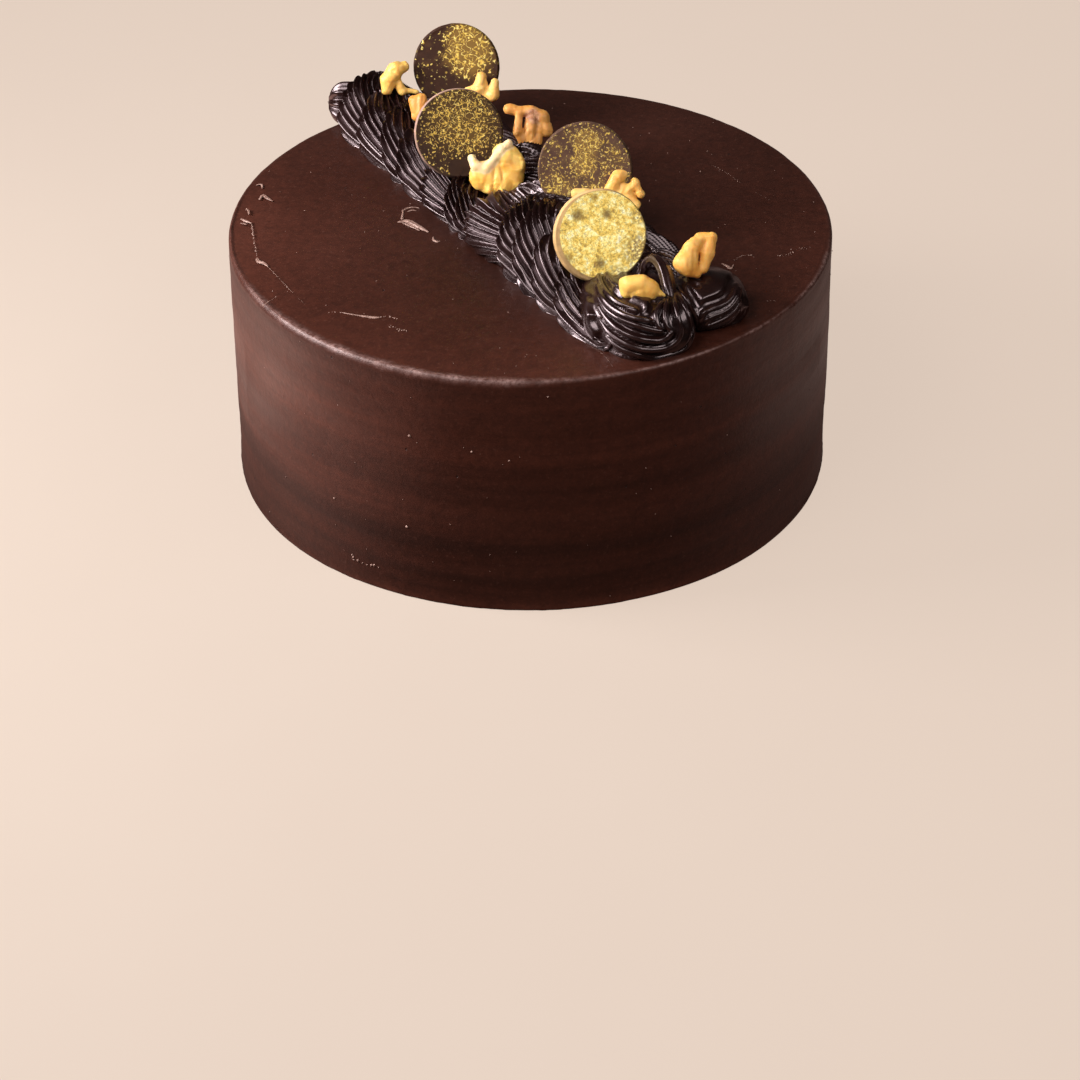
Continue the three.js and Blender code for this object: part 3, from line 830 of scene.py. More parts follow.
def edge_line(k, arc):
    pts = list(EDGES[k])
    last = pts[-1][1]
    pts += [(CREST + 8, last + 4.5), (CREST + 20, last + 11), (ARC, last + 16)]
    a, u = np.array(pts).T
    fine = np.interp(arc, a, u)
    return fine


def rope_shell(k, seed):
    near = np.linspace(0, CREST, 160)
    far = np.linspace(CREST, ARC, 74)[1:]
    arc = np.r_[near, far]
    left, right = edge_line(k, arc), edge_line(k + 1, arc)
    left, right = box_smooth(left, 6), box_smooth(right, 6)
    right = np.maximum(right, left + 3.0)
    inner = [(0.0, -5.0), (0.0, -2.6), (0.0, -0.9)]
    ss = np.r_[np.linspace(0, 0.14, 12)[:-1], np.linspace(0.14, 1.0, 62), 1.03, 1.07]
    S = np.tile(ss, (len(arc), 1))
    A = np.repeat(arc[:, None], len(ss), 1)
    wide = (right - left)[:, None]
    U = left[:, None] + S * wide
    slope = np.gradient(left, arc)
    ds = (U - left[:, None]) / np.sqrt(1 + slope[:, None] ** 2)
    foot_n = A - CLIMB[k] * (U - left[0]) * smoothstep(26, 8, A)
    foot_f = ARC - A + 0.35 * (U - left[-1])
    q = np.stack([U, A, 0 * U], -1)
    # each strand comes down along the left edge and leaves it to run under the next shell
    start = np.linspace(0, 60, 400)
    rise = 10.5 * SWEEP[k] * (1 - np.exp(-start / 5.0))
    count = start / 2.7 + 1.0 * (1 - np.exp(-start / 2.6))
    g1, g2 = np.zeros_like(A), np.zeros_like(A)
    for c, sv in enumerate(ss):
        lift = (1 - math.sqrt(min(sv + 0.015, 1.0)))
        g1[:, c] = np.interp(foot_n[:, c], start + rise * lift, count)
        g2[:, c] = np.interp(foot_f[:, c], start + rise * lift * 1.4, count)
    g = smin(g1, g2, 1.2)
    g = g + 0.16 * noise(q * [0.14, 0.14, 1], 1.0, seed + 2)
    x = np.abs((g - 0.34 + 0.5) % 1.0 - 0.5)
    # rounded at the very top, falling fast, then a wide hollow
    soft = np.sqrt(x * x + 0.045 ** 2) - 0.045
    thin = np.clip(1 - soft / 0.457, 0, 1) ** 1.8
    lane = noise(np.stack([g * 0.9, A * 0.03, 0 * A], -1), 1.0, seed + 6)
    amp = (1.35 + 0.80 * smoothstep(4, 16, A)) * (1 + 0.28 * lane + 0.14 * noise(q, 6.0, seed + 4))
    ridge = amp * (thin - 0.72)
    body = 5.0 * (1 - np.clip(S, 0, 1) ** 1.3)
    foot_body = 0.7 + 2.5 * np.sin(np.pi * np.clip(S * 0.92 + 0.06, 0, 1)) ** 0.8
    w = smoothstep(1.0, 8.0, A) * smoothstep(1.0, 7.0, ARC - A)
    off = foot_body * (1 - w) + body * w
    r = 2.7
    e = np.clip(1 - ds / r, 0, 1)
    off = off - r * (1 - np.sqrt(1 - e ** 2))
    off = off + ridge * np.clip(ds / 0.5, 0.25, 1) * (1 - 0.5 * smoothstep(0.97, 1.07, S))
    off = off - 2.2 * smoothstep(0.99, 1.07, S)
    base = rope_base(U, A)
    # outward direction of the plain section at each place
    t = np.gradient(base, axis=0)
    t /= np.linalg.norm(t, axis=2)[..., None]
    out = np.cross(t, ROW_U)
    out /= -np.linalg.norm(out, axis=2)[..., None]
    pts = base + out * off[..., None]
    cols = []
    for _, depth in inner:
        cols.append((base[:, 0] + out[:, 0] * depth)[:, None])
    cols.append(pts)
    cols.append((base[:, -1] + out[:, -1] * -5.0)[:, None])
    grid = np.concatenate(cols, 1)
    grid[..., 2] = np.maximum(grid[..., 2], FLOOR)
    rows, section = grid.shape[:2]
    v = grid.reshape(-1, 3)
    v = np.vstack([v, grid[0].mean(0), grid[-1].mean(0)])
    j = np.arange(section)
    kk = (j + 1) % section
    quads = np.vstack([np.stack([i * section + j, i * section + kk, (i + 1) * section + kk, (i + 1) * section + j], 1) for i in range(rows - 1)])
    n = rows * section
    a = np.stack([np.full(section, n), kk, j], 1)
    b = np.stack([np.full(section, n + 1), (rows - 1) * section + j, (rows - 1) * section + kk], 1)
    return v, [quads, a, b]


def rope_core():
    u = np.linspace(-92, 76, 120)
    arc = np.linspace(0, ARC, 70)
    U, A = np.meshgrid(u, arc, indexing="ij")
    base = rope_base(U, A)
    mid = ROW_U * U[..., None] + ROW_N * (-3.0) + np.array([0, 0, TOP + 4.0])
    grid = base + (mid - base) * 0.12
    grid[..., 2] = np.maximum(grid[..., 2], FLOOR)
    rows, section = grid.shape[:2]
    v = np.vstack([grid.reshape(-1, 3), grid[0].mean(0), grid[-1].mean(0)])
    j = np.arange(section)
    k = (j + 1) % section
    quads = np.vstack([np.stack([i * section + j, (i + 1) * section + j, (i + 1) * section + k, i * section + k], 1) for i in range(rows - 1)])
    n = rows * section
    a = np.stack([np.full(section, n), j, k], 1)
    b = np.stack([np.full(section, n + 1), (rows - 1) * section + k, (rows - 1) * section + j], 1)
    return v, [quads, a, b]


SWIRL = [((62, -5, 4.0), 8.0, (67, -10, 5.4), 9.6), ((67, -10, 5.4), 9.6, (76, -12.5, 5.6), 10.6), ((76, -12.5, 5.6), 10.6, (85, -10.5, 5.2), 10.4),
         ((85, -10.5, 5.2), 10.4, (88, -3.5, 5.6), 9.0), ((88, -3.5, 5.6), 9.0, (84, 2.5, 8.0), 6.4), ((66, -4, 5.0), 8.0, (78, -5, 5.0), 9.0),
         ((62, 2, 6.0), 6.5, (70, 4, 6.0), 7.0)]
BLOB = [((78, 9, 7.5), 6.5, (80, 17, 6.0), 8.4), ((80, 17, 6.0), 8.4, (80, 23, 5.6), 8.0), ((85, 13, 5.5), 7.0, (85, 22, 5.0), 7.4), ((74, 13, 5.5), 7.0, (74, 22, 5.0), 7.4)]
START_END = [(-88, -4, 6.4, 6.4), (-93, -11, 6.8, 7.2), (-97, -17.0, 6.8, 7.6), (-101.5, -22.5, 6.6, 7.4)]


def placed_on(tree, px):
    """Where the line of sight through a pixel of the photographed view meets a mesh."""
    d = Vector(CAM_RIGHT * (px[0] - 540) / CAM_FOCAL + CAM_UP * (540 - px[1]) / CAM_FOCAL - CAM_BACK).normalized()
    hit, normal, _, _ = tree.ray_cast(Vector(CAM_AT), d)
    return None if hit is None else np.array(hit)


def piping_pieces():
    from mathutils.bvhtree import BVHTree
    shells = [rope_shell(k, 300 + 20 * k) for k in range(len(EDGES) - 1)]
    start = ribbed_tube(station_path(START_END), teeth=9, depth=0.34, seed=5, closed=(1, 0.6), round_ends=(0, 5.5),
                        floor_at=FLOOR, sharp=0.8, step=0.6)
    tip = on_top(-93.5, -7.5, 14.0)
    peak = ribbed_tube(spline([np.r_[tip - [0, 0, 1.2], 2.6], np.r_[tip + [0.2, 0, 1.4], 1.5], np.r_[tip + [0.3, 0.1, 2.8], 0.7],
                               np.r_[tip + [0.2, 0.2, 3.9], 0.12]], 8), teeth=5, depth=0.25, step=0.3, seed=9, closed=(0.2, 0.1))

    def lump(rods, blend, folds=()):
        world_rods = [(on_top(*a), ra, on_top(*b), rb) for a, ra, b, rb in rods]
        world_folds = [(on_top(*a), on_top(*b), wide, deep) for a, b, wide, deep in folds]

        def body(p):
            d = None
            for a, ra, b, rb in world_rods:
                e = cone(p, a, ra, b, rb)
                d = e if d is None else smin(d, e, blend)
            for a, b, wide, deep in world_folds:
                d = d + deep * np.exp(-(cone(p, a, 0.0, b, 0.0) / wide) ** 2)
            d = d + 0.16 * noise(p, 5.0, 71) + 0.05 * noise(p, 1.7, 72)
            return np.maximum(d, FLOOR - p[:, 2])

        ends = np.array([q for a, _, b, _ in world_rods for q in (a, b)])
        reach = max(max(ra, rb) for _, ra, _, rb in world_rods) + 2.0
        lo, hi = ends.min(0) - reach, ends.max(0) + reach
        lo[2] = FLOOR - 1.0
        v, q = blended_solid(body, lo, hi, 0.55)
        v[:, 2] = np.maximum(v[:, 2], FLOOR)
        return v, [q]

    turn = lump(SWIRL, 3.2)
    curl = lump(BLOB, 3.0, [((79.0, 11.0, 15.0), (86.0, 13.5, 11.0), 0.9, 0.9), ((78.5, 13.6, 15.0), (85.5, 16.5, 11.5), 0.9, 0.8),
                            ((79.0, 16.6, 14.6), (84.5, 19.0, 12.0), 0.9, 0.6)])
    pair = [turn, curl]
    tv, tf = joined(pair)
    tree = BVHTree.FromPolygons(tv.tolist(), [f for part in tf for f in np.asarray(part).tolist()])
    extra, traced = [], []
    for line, width in (
            ([(604, 263), (607, 272), (614, 282), (622, 290)], 0.8),
            ([(598, 272), (602, 284), (610, 296), (621, 304), (635, 309)], 0.9),
            ([(597, 284), (603, 298), (614, 309), (630, 317), (645, 320), (653, 322)], 0.9),
            ([(598, 297), (607, 310), (620, 319), (638, 326), (652, 330), (662, 331), (658, 325), (656, 315), (660, 306), (665, 299)], 0.9),
            ([(598, 306), (608, 320), (622, 332), (640, 339), (656, 341), (666, 338), (671, 332), (667, 326), (665, 317), (666, 305), (669, 296)], 0.95),
            ([(600, 320), (610, 333), (624, 343), (640, 349), (656, 350), (669, 347), (678, 340), (681, 329), (678, 317), (675, 305), (674, 294)], 0.95),
            ([(606, 336), (620, 348), (638, 355), (656, 358), (672, 356), (684, 349), (691, 338), (692, 327), (688, 314), (681, 301), (676, 290)], 0.95),
            ([(691, 349), (697, 339), (698, 329), (696, 318), (690, 306), (683, 295), (677, 285)], 0.8),
            ([(697, 322), (703, 314), (711, 309), (720, 306), (729, 301), (735, 293), (737, 284)], 0.7),
            ([(699, 327), (706, 320), (714, 316), (724, 312), (732, 306), (738, 297), (740, 288)], 0.6),
            ([(700, 331), (708, 326), (717, 322), (727, 317), (735, 310), (740, 301)], 0.6),
            ([(703, 335), (712, 331), (722, 327), (732, 320), (739, 310)], 0.6)):
        p = [placed_on(tree, q) for q in line]
        p = [q for q in p if q is not None]
        if len(p) > 2:
            traced.append(spline([np.array(q, float) for q in line], 10))
            rows = [np.r_[q - CAM_BACK * 0.25, width * (0.4 if i in (0, len(p) - 1) else 1)] for i, q in enumerate(p)]
            extra.append(ribbed_tube(spline(rows, 8), teeth=6, depth=0.06, step=0.5, seed=90 + len(extra), closed=(0.3, 0.3), sharp=0.8, per_tooth=8))
    # press the skin between the strands in
    for body_part, amount in ((turn, 1.7), (curl, 1.1)):
        v, q = body_part[0], body_part[1][0]
        nrm = normals_of(v, q)
        rel = v - CAM_AT
        z = -(rel @ CAM_BACK)
        flat = np.stack([540 + CAM_FOCAL * (rel @ CAM_RIGHT) / z, 540 - CAM_FOCAL * (rel @ CAM_UP) / z], -1)
        away = np.min([np.linalg.norm(flat[:, None] - t[None], axis=2).min(1) for t in traced], 0) / 3.0
        press = amount * smoothstep(0.3, 1.6, away) * (1 - smoothstep(2.6, 4.6, away)) * smoothstep(-0.15, 0.35, nrm @ CAM_BACK)
        v -= nrm * press[:, None]
        v[:, 2] = np.maximum(v[:, 2], FLOOR)
    # the ribbon that arches over from the swirl's end
    arch = [np.r_[on_top(66.0, 1.5, 11.0), 1.7], np.r_[on_top(66.6, 3.6, 15.6), 1.7], np.r_[on_top(69.2, 4.8, 18.2), 1.8],
            np.r_[on_top(73.6, 4.8, 18.2), 2.2], np.r_[on_top(78.0, 4.0, 16.4), 2.4], np.r_[on_top(82.0, 2.6, 14.2), 2.3], np.r_[on_top(86.0, 1.4, 11.6), 1.6]]
    extra.append(ribbed_tube(spline(arch, 8), teeth=7, depth=0.10, step=0.5, seed=97, closed=(0.5, 0.5), sharp=0.5, per_tooth=8))
    groups = (("piping_back", shells[:4] + [start, peak]), ("piping_middle", shells[4:8]), ("piping_front", shells[8:]),
              ("piping_end", [turn, curl, rope_core()] + extra))
    for name, parts in groups:
        v, f = joined(parts)
        finish_piece(make_piece(name, v, f, GANACHE), ["piping"])


piping_pieces()


# -------------------------------------------------------------------- discs
DISCS = [
    dict(at=(-25.2, 72.4, 108.0), diameter=30.0, turn=-4, lean=24),
    dict(at=(-23.5, 18.2, 110.2), diameter=29.7, turn=5, lean=26),
    dict(at=(18.1, -3.8, 108.0), diameter=31.2, turn=-6, lean=24),
    dict(at=(21.9, -51.6, 109.7), diameter=29.8, turn=10, lean=28),
]
THICK = 3.0


def disc_mesh(d, seed):
    """Round slab in its own frame: x right, y up the face, z out of the face."""
    seg = 200
    r = d["diameter"] / 2
    phi = np.arange(seg) / seg * 2 * np.pi
    c, s = np.cos(phi), np.sin(phi)
    ring = np.stack([c * r, s * r, 0 * c], -1)
    rag = 0.06 * noise(ring, 2.0, seed) + 0.05 * noise(ring, 0.8, seed + 1)
    prof = []
    h = THICK / 2
    for rr in (3, 6, 9, 11.5, 13.0):
        prof.append((rr + 0 * c, h + 0 * c))
    prof.append((r - 1.15 + 0 * c, h + 0 * c))
    prof.append((r - 0.85 + rag * 0.4, h + 0.05 + rag))
    prof.append((r - 0.62 + rag * 0.6, h + 0.06 + rag * 0.8))
    prof.append((r - 0.5 + rag, h - 0.12 + rag * 0.5))
    for a in np.linspace(0.16, 0.84, 7):
        bulge = math.sin(a * math.pi) ** 0.7
        prof.append((r - 0.55 + 0.5 * bulge + rag * 0.6 + 0.03 * noise(ring + [0, 0, a * 9], 1.2, seed + 3), h - THICK * a + 0 * c))
    prof.append((r - 0.62 + rag, -h + 0.12 + 0 * c))
    prof.append((r - 0.95 + rag * 0.5, -h + 0 * c))
    for rr in (12.5, 9, 5, 2):
        prof.append((rr + 0 * c, -h + 0 * c))
    verts = [np.stack([q * c, q * s, z], -1) for q, z in prof]
    n = len(verts)
    verts = np.vstack(verts + [np.array([[0, 0, h]]), np.array([[0, 0, -h]])])
    face = np.abs(verts[:, 2]) > h - 0.02
    verts[face, 2] += 0.05 * noise(verts[face], 7, seed + 5) + 0.02 * noise(verts[face], 2.2, seed + 6)
    j = np.arange(seg)
    k = (j + 1) % seg
    quads = np.vstack([np.stack([i * seg + j, (i + 1) * seg + j, (i + 1) * seg + k, i * seg + k], 1) for i in range(n - 1)])
    a = np.stack([np.full(seg, n * seg), j, k], 1)
    b = np.stack([np.full(seg, n * seg + 1), (n - 1) * seg + k, (n - 1) * seg + j], 1)
    return verts, [quads, a, b]


DISC_LOOKS = [
    disc_material("disc_flecked_1", [(4.5, 5.5, 12.0, 1.15), (2, 11, 8, 0.5), (-9, 1, 9, 0.04), (2, -12, 8, -0.3)], 0.18, 480.0, 620.0,
                  (0.027, 0.0095, 0.0040), (0.30, 0.17, 0.13), gold_to=14.75, haze=0.50),
    # the negative blob low on the second disc is painted shade: it thins the gold flecks and their haze there so the
    # bottom reads dark
    disc_material("disc_flecked_2", [(1, 4, 15.0, 0.66), (5, 0, 9, 0.2), (3, -14, 8, -1.3)], 0.30, 680.0, 800.0,
                  (0.025, 0.0110, 0.0060), (0.46, 0.29, 0.22), shift=(0.25, 0.0), gold_to=14.35, haze=0.24),
    disc_material("disc_flecked_3", [(0.5, 8.5, 6.0, 1.6), (-0.5, 2, 5.5, 1.1), (-8, -7, 8, 0.45), (3, -9, 7, 0.6), (9, 4, 6, 0.25)], 0.34, 700.0, 820.0,
                  (0.062, 0.031, 0.021), (0.20, 0.12, 0.085), gold_to=15.25, haze=0.42),
    disc_material("disc_leaf", [(-3, 1, 16.0, 0.9), (3, 0, 14, 0.5)], 0.45, 700.0, 900.0, (0.060, 0.032, 0.018), (0.70, 0.44, 0.19),
                  shift=(0.9, 0.3), gold_to=13.65,
                  smudges=[(-6.6, 7.2, 2.8, 1.0), (2.6, 6.6, 2.4, 0.9), (-0.8, -8.6, 2.4, 1.0), (-11, -6, 2.6, 0.6), (-1, 12, 2.0, 0.5)],
                  wear_and_rim_highlight=[(12.5, -6, 8, 1.3), (13, 5, 4, 0.9), (4, -13, 5, 0.9)], leaf=True),
]


def place_discs():
    for i, d in enumerate(DISCS):
        v, f = disc_mesh(d, 100 + 10 * i)
        obj = make_piece(f"chocolate_disc_{i + 1}", v, f, DISC_LOOKS[i])
        a = math.radians(d["lean"])
        # the face looks to -Y and up, then is turned about the vertical
        out = np.array([0, -math.cos(a), math.sin(a)])
        up = np.array([0, math.sin(a), math.cos(a)])
        right = np.array([1.0, 0, 0])
        basis = Matrix(((right[0], up[0], out[0]), (right[1], up[1], out[1]), (right[2], up[2], out[2])))
        m = Matrix.Rotation(math.radians(d["turn"]), 3, "Z") @ basis
        obj.matrix_world = Matrix.Translation(Vector(d["at"]) * MM) @ m.to_4x4()
        finish_piece(obj, [f"disc_{i + 1}"])


place_discs()


# ------------------------------------------------------------------ walnuts
# Each walnut piece is modelled in a frame that faces the viewer of the
# photographed side: x right, y up, z out, in mm, and the parts below are given
# in pixels of the photograph about the piece's own centre pixel.
def walnut_piece(i, centre_px, at, parts, blend, grooves, pale, mid, deep, cream=None, skin=None, rough=0.18, cut=(), folds=0.26):
    s = px_scale(at)

    def loc(q):
        return np.array([(q[0] - centre_px[0]) / s, (centre_px[1] - q[1]) / s, q[2] if len(q) > 2 else 0.0])

    def body(p):
        # uneven, slightly folded flesh
        w = p + np.stack([noise(p + 11, 4.2, 200 + i), noise(p + 31, 4.2, 230 + i), noise(p + 57, 4.2, 260 + i)], -1) * 0.35
        d = None
        for kind, *a in parts:
            if kind == "rod":
                e = cone(w, loc(a[0]), a[1] / s, loc(a[2]), a[3] / s)
            else:
                e = egg(w, loc(a[0]), [a[1] / s, a[2] / s, a[3]], math.radians(a[4]) if len(a) > 4 else 0.0)
            d = e if d is None else smin(d, e, blend)
        for kind, *a in cut:
            e = cone(w, loc(a[0]), a[1] / s, loc(a[2]), a[3] / s)
            d = -smin(-d, e, 0.5)
        for a, b, wide, deepness in grooves:
            g = cone(w * np.array([1, 1, 0.35]), loc(a) * np.array([1, 1, 0.35]), 0.0, loc(b) * np.array([1, 1, 0.35]), 0.0)
            d = d + deepness * np.exp(-(g / wide) ** 2)
        d = d + folds * np.exp(-(noise(w * [1, 1, 0.6], 3.3, 500 + i) / 0.085) ** 2)
        d = d + rough * noise(p, 2.3, 300 + i) + rough * 0.55 * noise(p, 1.15, 330 + i) + rough * 0.22 * noise(p, 0.6, 360 + i)
        return d

    pts = [loc(a[0]) for _, *a in parts] + [loc(a[2]) for k, *a in parts if k == "rod"]
    rad = max([max(a[1], a[3] if k == "rod" else a[2]) / s for k, *a in parts] + [a[3] for k, *a in parts if k == "egg"])
    lo, hi = np.min(pts, 0) - rad - 1.0, np.max(pts, 0) + rad + 1.0
    verts, quads = surface_net(body, lo, hi, 0.34)
    # keep the largest shell only
    label = np.arange(len(verts))
    while True:
        m = label[quads].min(1)
        new = label.copy()
        for k in range(4):
            np.minimum.at(new, quads[:, k], m)
        if (new == label).all():
            break
        label = new[new]
    ids, counts = np.unique(label, return_counts=True)
    keep = label == ids[counts.argmax()]
    remap = np.cumsum(keep) - 1
    quads = remap[quads[keep[quads].all(1)]]
    verts = verts[keep]
    verts = relax(verts, quads, 2, 0.5)
    soft = relax(verts, quads, 14, 0.5)
    nrm = normals_of(verts, quads)
    vol = (verts[quads[:, 0]] * np.cross(verts[quads[:, 1]], verts[quads[:, 2]])).sum()
    if vol < 0:
        quads = quads[:, ::-1]
        nrm = -nrm
    hollow = ((soft - verts) * nrm).sum(1)
    crease = smoothstep(0.0, 0.30, hollow)
    edge = smoothstep(0.05, 0.5, -hollow)
    attrs = {"crease": crease, "cream": 0.16 * edge, "skin": 0 * crease}
    if cream is not None:
        near = np.min([cone(verts, loc(a), ra / s, loc(b), rb / s) for a, ra, b, rb in cream], 0)
        attrs["cream"] = np.maximum(attrs["cream"], smoothstep(0.75, 0.1, near + 0.25 * noise(verts, 1.5, 400 + i)))
    if skin is not None:
        q, rr = loc(skin[0]), skin[1] / s
        dist = np.linalg.norm((verts - q)[:, :2], axis=1)
        attrs["skin"] = smoothstep(rr, rr * 0.45, dist + 0.8 * noise(verts, 2.0, 430 + i)) * smoothstep(-0.5, 0.3, nrm[:, 2])
    world = np.asarray(at) + verts[:, :1] * CAM_RIGHT + verts[:, 1:2] * CAM_UP + verts[:, 2:3] * CAM_BACK
    obj = make_piece(f"walnut_piece_{i}", world, [quads], walnut_material(f"walnut_flesh_{i}", pale, mid, deep), attrs)
    finish_piece(obj, [f"walnut_{i}"])
    return obj


def place_walnuts():
    # curled finger with a small fold beside it
    walnut_piece(1, (397, 76), (-45.7, 67.6, 106.7), [
        ("rod", (387, 90, 0), 5.5, (389, 79, 0.4), 8.0), ("rod", (389, 79, 0.4), 8.0, (396, 69, 0.6), 8.4),
        ("rod", (396, 69, 0.6), 8.4, (404, 66, 0), 5.6), ("rod", (397, 80, -0.6), 5.0, (402, 89, -0.8), 5.0),
        ("rod", (404, 88, -1.2), 3.2, (416, 91, -1.8), 2.4)], 0.7,
        [((389, 90, 3), (398, 78, 3), 0.5, 0.5), ((393, 72, 3), (401, 79, 3), 0.5, 0.35)],
        (0.95, 0.64, 0.22), (0.90, 0.50, 0.13), (0.64, 0.27, 0.045), rough=0.10)
    # short block, partly behind a disc
    walnut_piece(2, (418, 109), (-38.2, 51.0, 103.4), [
        ("rod", (414, 102, 0), 5.2, (418, 118, 0), 5.5), ("rod", (421, 101, 0.3), 6.0, (421, 116, 0.3), 6.0),
        ("rod", (427, 106, -0.8), 4.5, (424, 118, -0.6), 5)], 0.8,
        [((418, 97, 3), (417, 122, 3), 0.5, 0.3), ((424, 98, 3), (422, 120, 3), 0.5, 0.25)],
        (0.78, 0.37, 0.10), (0.72, 0.27, 0.055), (0.50, 0.15, 0.02), rough=0.12)
    # two flat peaks
    walnut_piece(3, (482, 87), (-16.1, 64.5, 104.6), [
        ("rod", (481, 79, 0.3), 5.8, (480, 88, 0), 8.5), ("rod", (478, 88, -0.5), 3.5, (466, 90, -0.8), 2.6),
        ("rod", (495, 84, 0.6), 4.2, (492, 95, 0.4), 7.5), ("rod", (482, 90, 0), 6, (490, 96, 0), 6)], 0.5,
        [((487, 80, 3), (485, 95, 3), 0.45, 0.45), ((470, 92, 3), (486, 86, 3), 0.5, 0.3)],
        (0.94, 0.60, 0.22), (0.86, 0.46, 0.13), (0.62, 0.27, 0.05), rough=0.10)
    # long hooked piece with brown skin on it
    walnut_piece(4, (528, 127), (-0.5, 36.2, 103.2), [
        ("rod", (509, 109, 0.5), 5.6, (520, 112, 0.2), 4.8), ("rod", (520, 112, 0.2), 4.8, (533, 112, 0), 6.2),
        ("rod", (533, 112, 0), 6.2, (542, 118, 0), 7.0), ("rod", (542, 118, 0), 7.0, (546, 132, -0.3), 7.0),
        ("rod", (520, 114, 1.0), 3.8, (517, 133, 1.2), 5.2), ("rod", (519, 133, 0.6), 5.0, (525, 148, 0), 5.0),
        ("rod", (532, 122, 0.4), 7.5, (531, 144, 0), 6.5), ("rod", (541, 128, 0.4), 5.0, (536, 146, 0), 5.0)], 0.7,
        [((524, 116, 3), (522, 146, 3), 0.5, 0.55), ((537, 118, 3), (536, 136, 3), 0.5, 0.7), ((531, 134, 3), (527, 150, 3), 0.4, 0.35),
         ((513, 104, 3), (514, 118, 3), 0.4, 0.2), ((542, 122, 3), (548, 138, 3), 0.5, 0.25)],
        (0.80, 0.42, 0.14), (0.62, 0.27, 0.065), (0.33, 0.12, 0.03), skin=((533, 118), 12), rough=0.16)
    # the largest: a fan of folds under a thick cream lip with a notch in it
    lip = [((472, 156, 1.2), 4.2, (476, 165, 1.5), 5.2), ((476, 165, 1.5), 5.2, (486, 168, 1.6), 5.2),
           ((486, 168, 1.6), 5.2, (495, 157, 1.4), 5.0), ((495, 157, 1.4), 5.0, (502, 147, 1.0), 5.2), ((502, 147, 1.0), 5.2, (509, 142, 0.8), 4.8)]
    walnut_piece(5, (497, 164), (-10.85, 6.3, 104.0), [("rod", *q) for q in lip] + [
        ("egg", (499, 174, -0.6), 26, 20, 3.4, 0), ("egg", (508, 161, -0.6), 17, 22, 3.1, 20), ("egg", (484, 173, -0.4), 15, 15, 3.2, -30),
        ("rod", (500, 166, 0.8), 5.5, (504, 190, 1.2), 4.2), ("rod", (490, 172, 1.0), 5.0, (489, 188, 1.1), 4.0),
        ("rod", (504, 160, 0.8), 5.0, (520, 168, 0.8), 3.6), ("rod", (508, 152, 0.6), 4.6, (519, 156, 0.6), 3.6),
        ("rod", (504, 170, 1.0), 4.6, (518, 182, 0.8), 3.2)], 0.55,
        [((494, 168, 3), (493, 192, 3), 0.42, 0.5), ((499, 162, 3), (506, 192, 3), 0.42, 0.55), ((497, 160, 3), (513, 162, 3), 0.4, 0.5),
         ((500, 166, 3), (522, 176, 3), 0.42, 0.45), ((514, 146, 3), (513, 164, 3), 0.45, 0.4), ((478, 171, 3), (482, 186, 3), 0.4, 0.25)],
        (0.96, 0.66, 0.20), (0.88, 0.46, 0.09), (0.64, 0.25, 0.025), cream=lip, rough=0.13,
        cut=[("rod", (486, 156, 2), 2.2, (486, 141, 2), 8.5)])
    # rounded lobes meeting in a fold
    walnut_piece(6, (623, 189), (30.7, -8.4, 103.4), [
        ("rod", (610, 190, 0), 6.8, (617, 178, 0.3), 7.2), ("rod", (617, 178, 0.3), 7.2, (626, 174, 0), 4.8),
        ("rod", (622, 194, 0.4), 4.5, (634, 184, 0.6), 5.2), ("rod", (634, 184, 0.6), 5.2, (640, 195, 0.2), 4.6),
        ("rod", (626, 199, 0), 6.0, (635, 205, -0.2), 5.0), ("egg", (623, 193, -1.2), 14, 13, 3.0)], 0.55,
        [((620, 197, 3), (630, 178, 3), 0.5, 0.75), ((622, 196, 3), (640, 198, 3), 0.45, 0.45), ((612, 196, 3), (621, 177, 3), 0.4, 0.2)],
        (0.96, 0.62, 0.22), (0.86, 0.44, 0.11), (0.52, 0.20, 0.025), rough=0.12)
    # a bit that shows over the front disc
    walnut_piece(7, (584, 190), (17.35, -18.6, 108.0), [
        ("rod", (577, 193, 0), 6.0, (586, 194, 0), 6.5), ("rod", (586, 194, 0), 6.5, (592, 196, 0), 4.5)], 0.6,
        [], (0.88, 0.60, 0.25), (0.8, 0.46, 0.14), (0.5, 0.24, 0.05), rough=0.12)
    # wedge with a round lower lobe and a tall right one
    walnut_piece(8, (695, 256), (51.65, -59.8, 106.9), [
        ("rod", (685, 264, 0.6), 12.0, (691, 250, 0.4), 9.0), ("rod", (691, 250, 0.4), 9.0, (700, 239, 0), 6.0),
        ("rod", (700, 238, 0), 5.6, (711, 237, 0), 5.2), ("rod", (711, 238, 0), 5.4, (707, 254, -0.4), 7.0),
        ("rod", (707, 254, -0.4), 7.0, (703, 268, -0.5), 6.0), ("rod", (690, 270, 0.5), 9, (696, 274, 0.2), 5)], 0.5,
        [((702, 242, 3), (701, 272, 3), 0.55, 0.7), ((693, 251, 4), (693, 272, 4), 0.45, 0.5), ((686, 246, 3), (697, 246, 3), 0.5, 0.25)],
        (0.90, 0.54, 0.17), (0.78, 0.36, 0.07), (0.60, 0.20, 0.012), rough=0.10, folds=0.14)
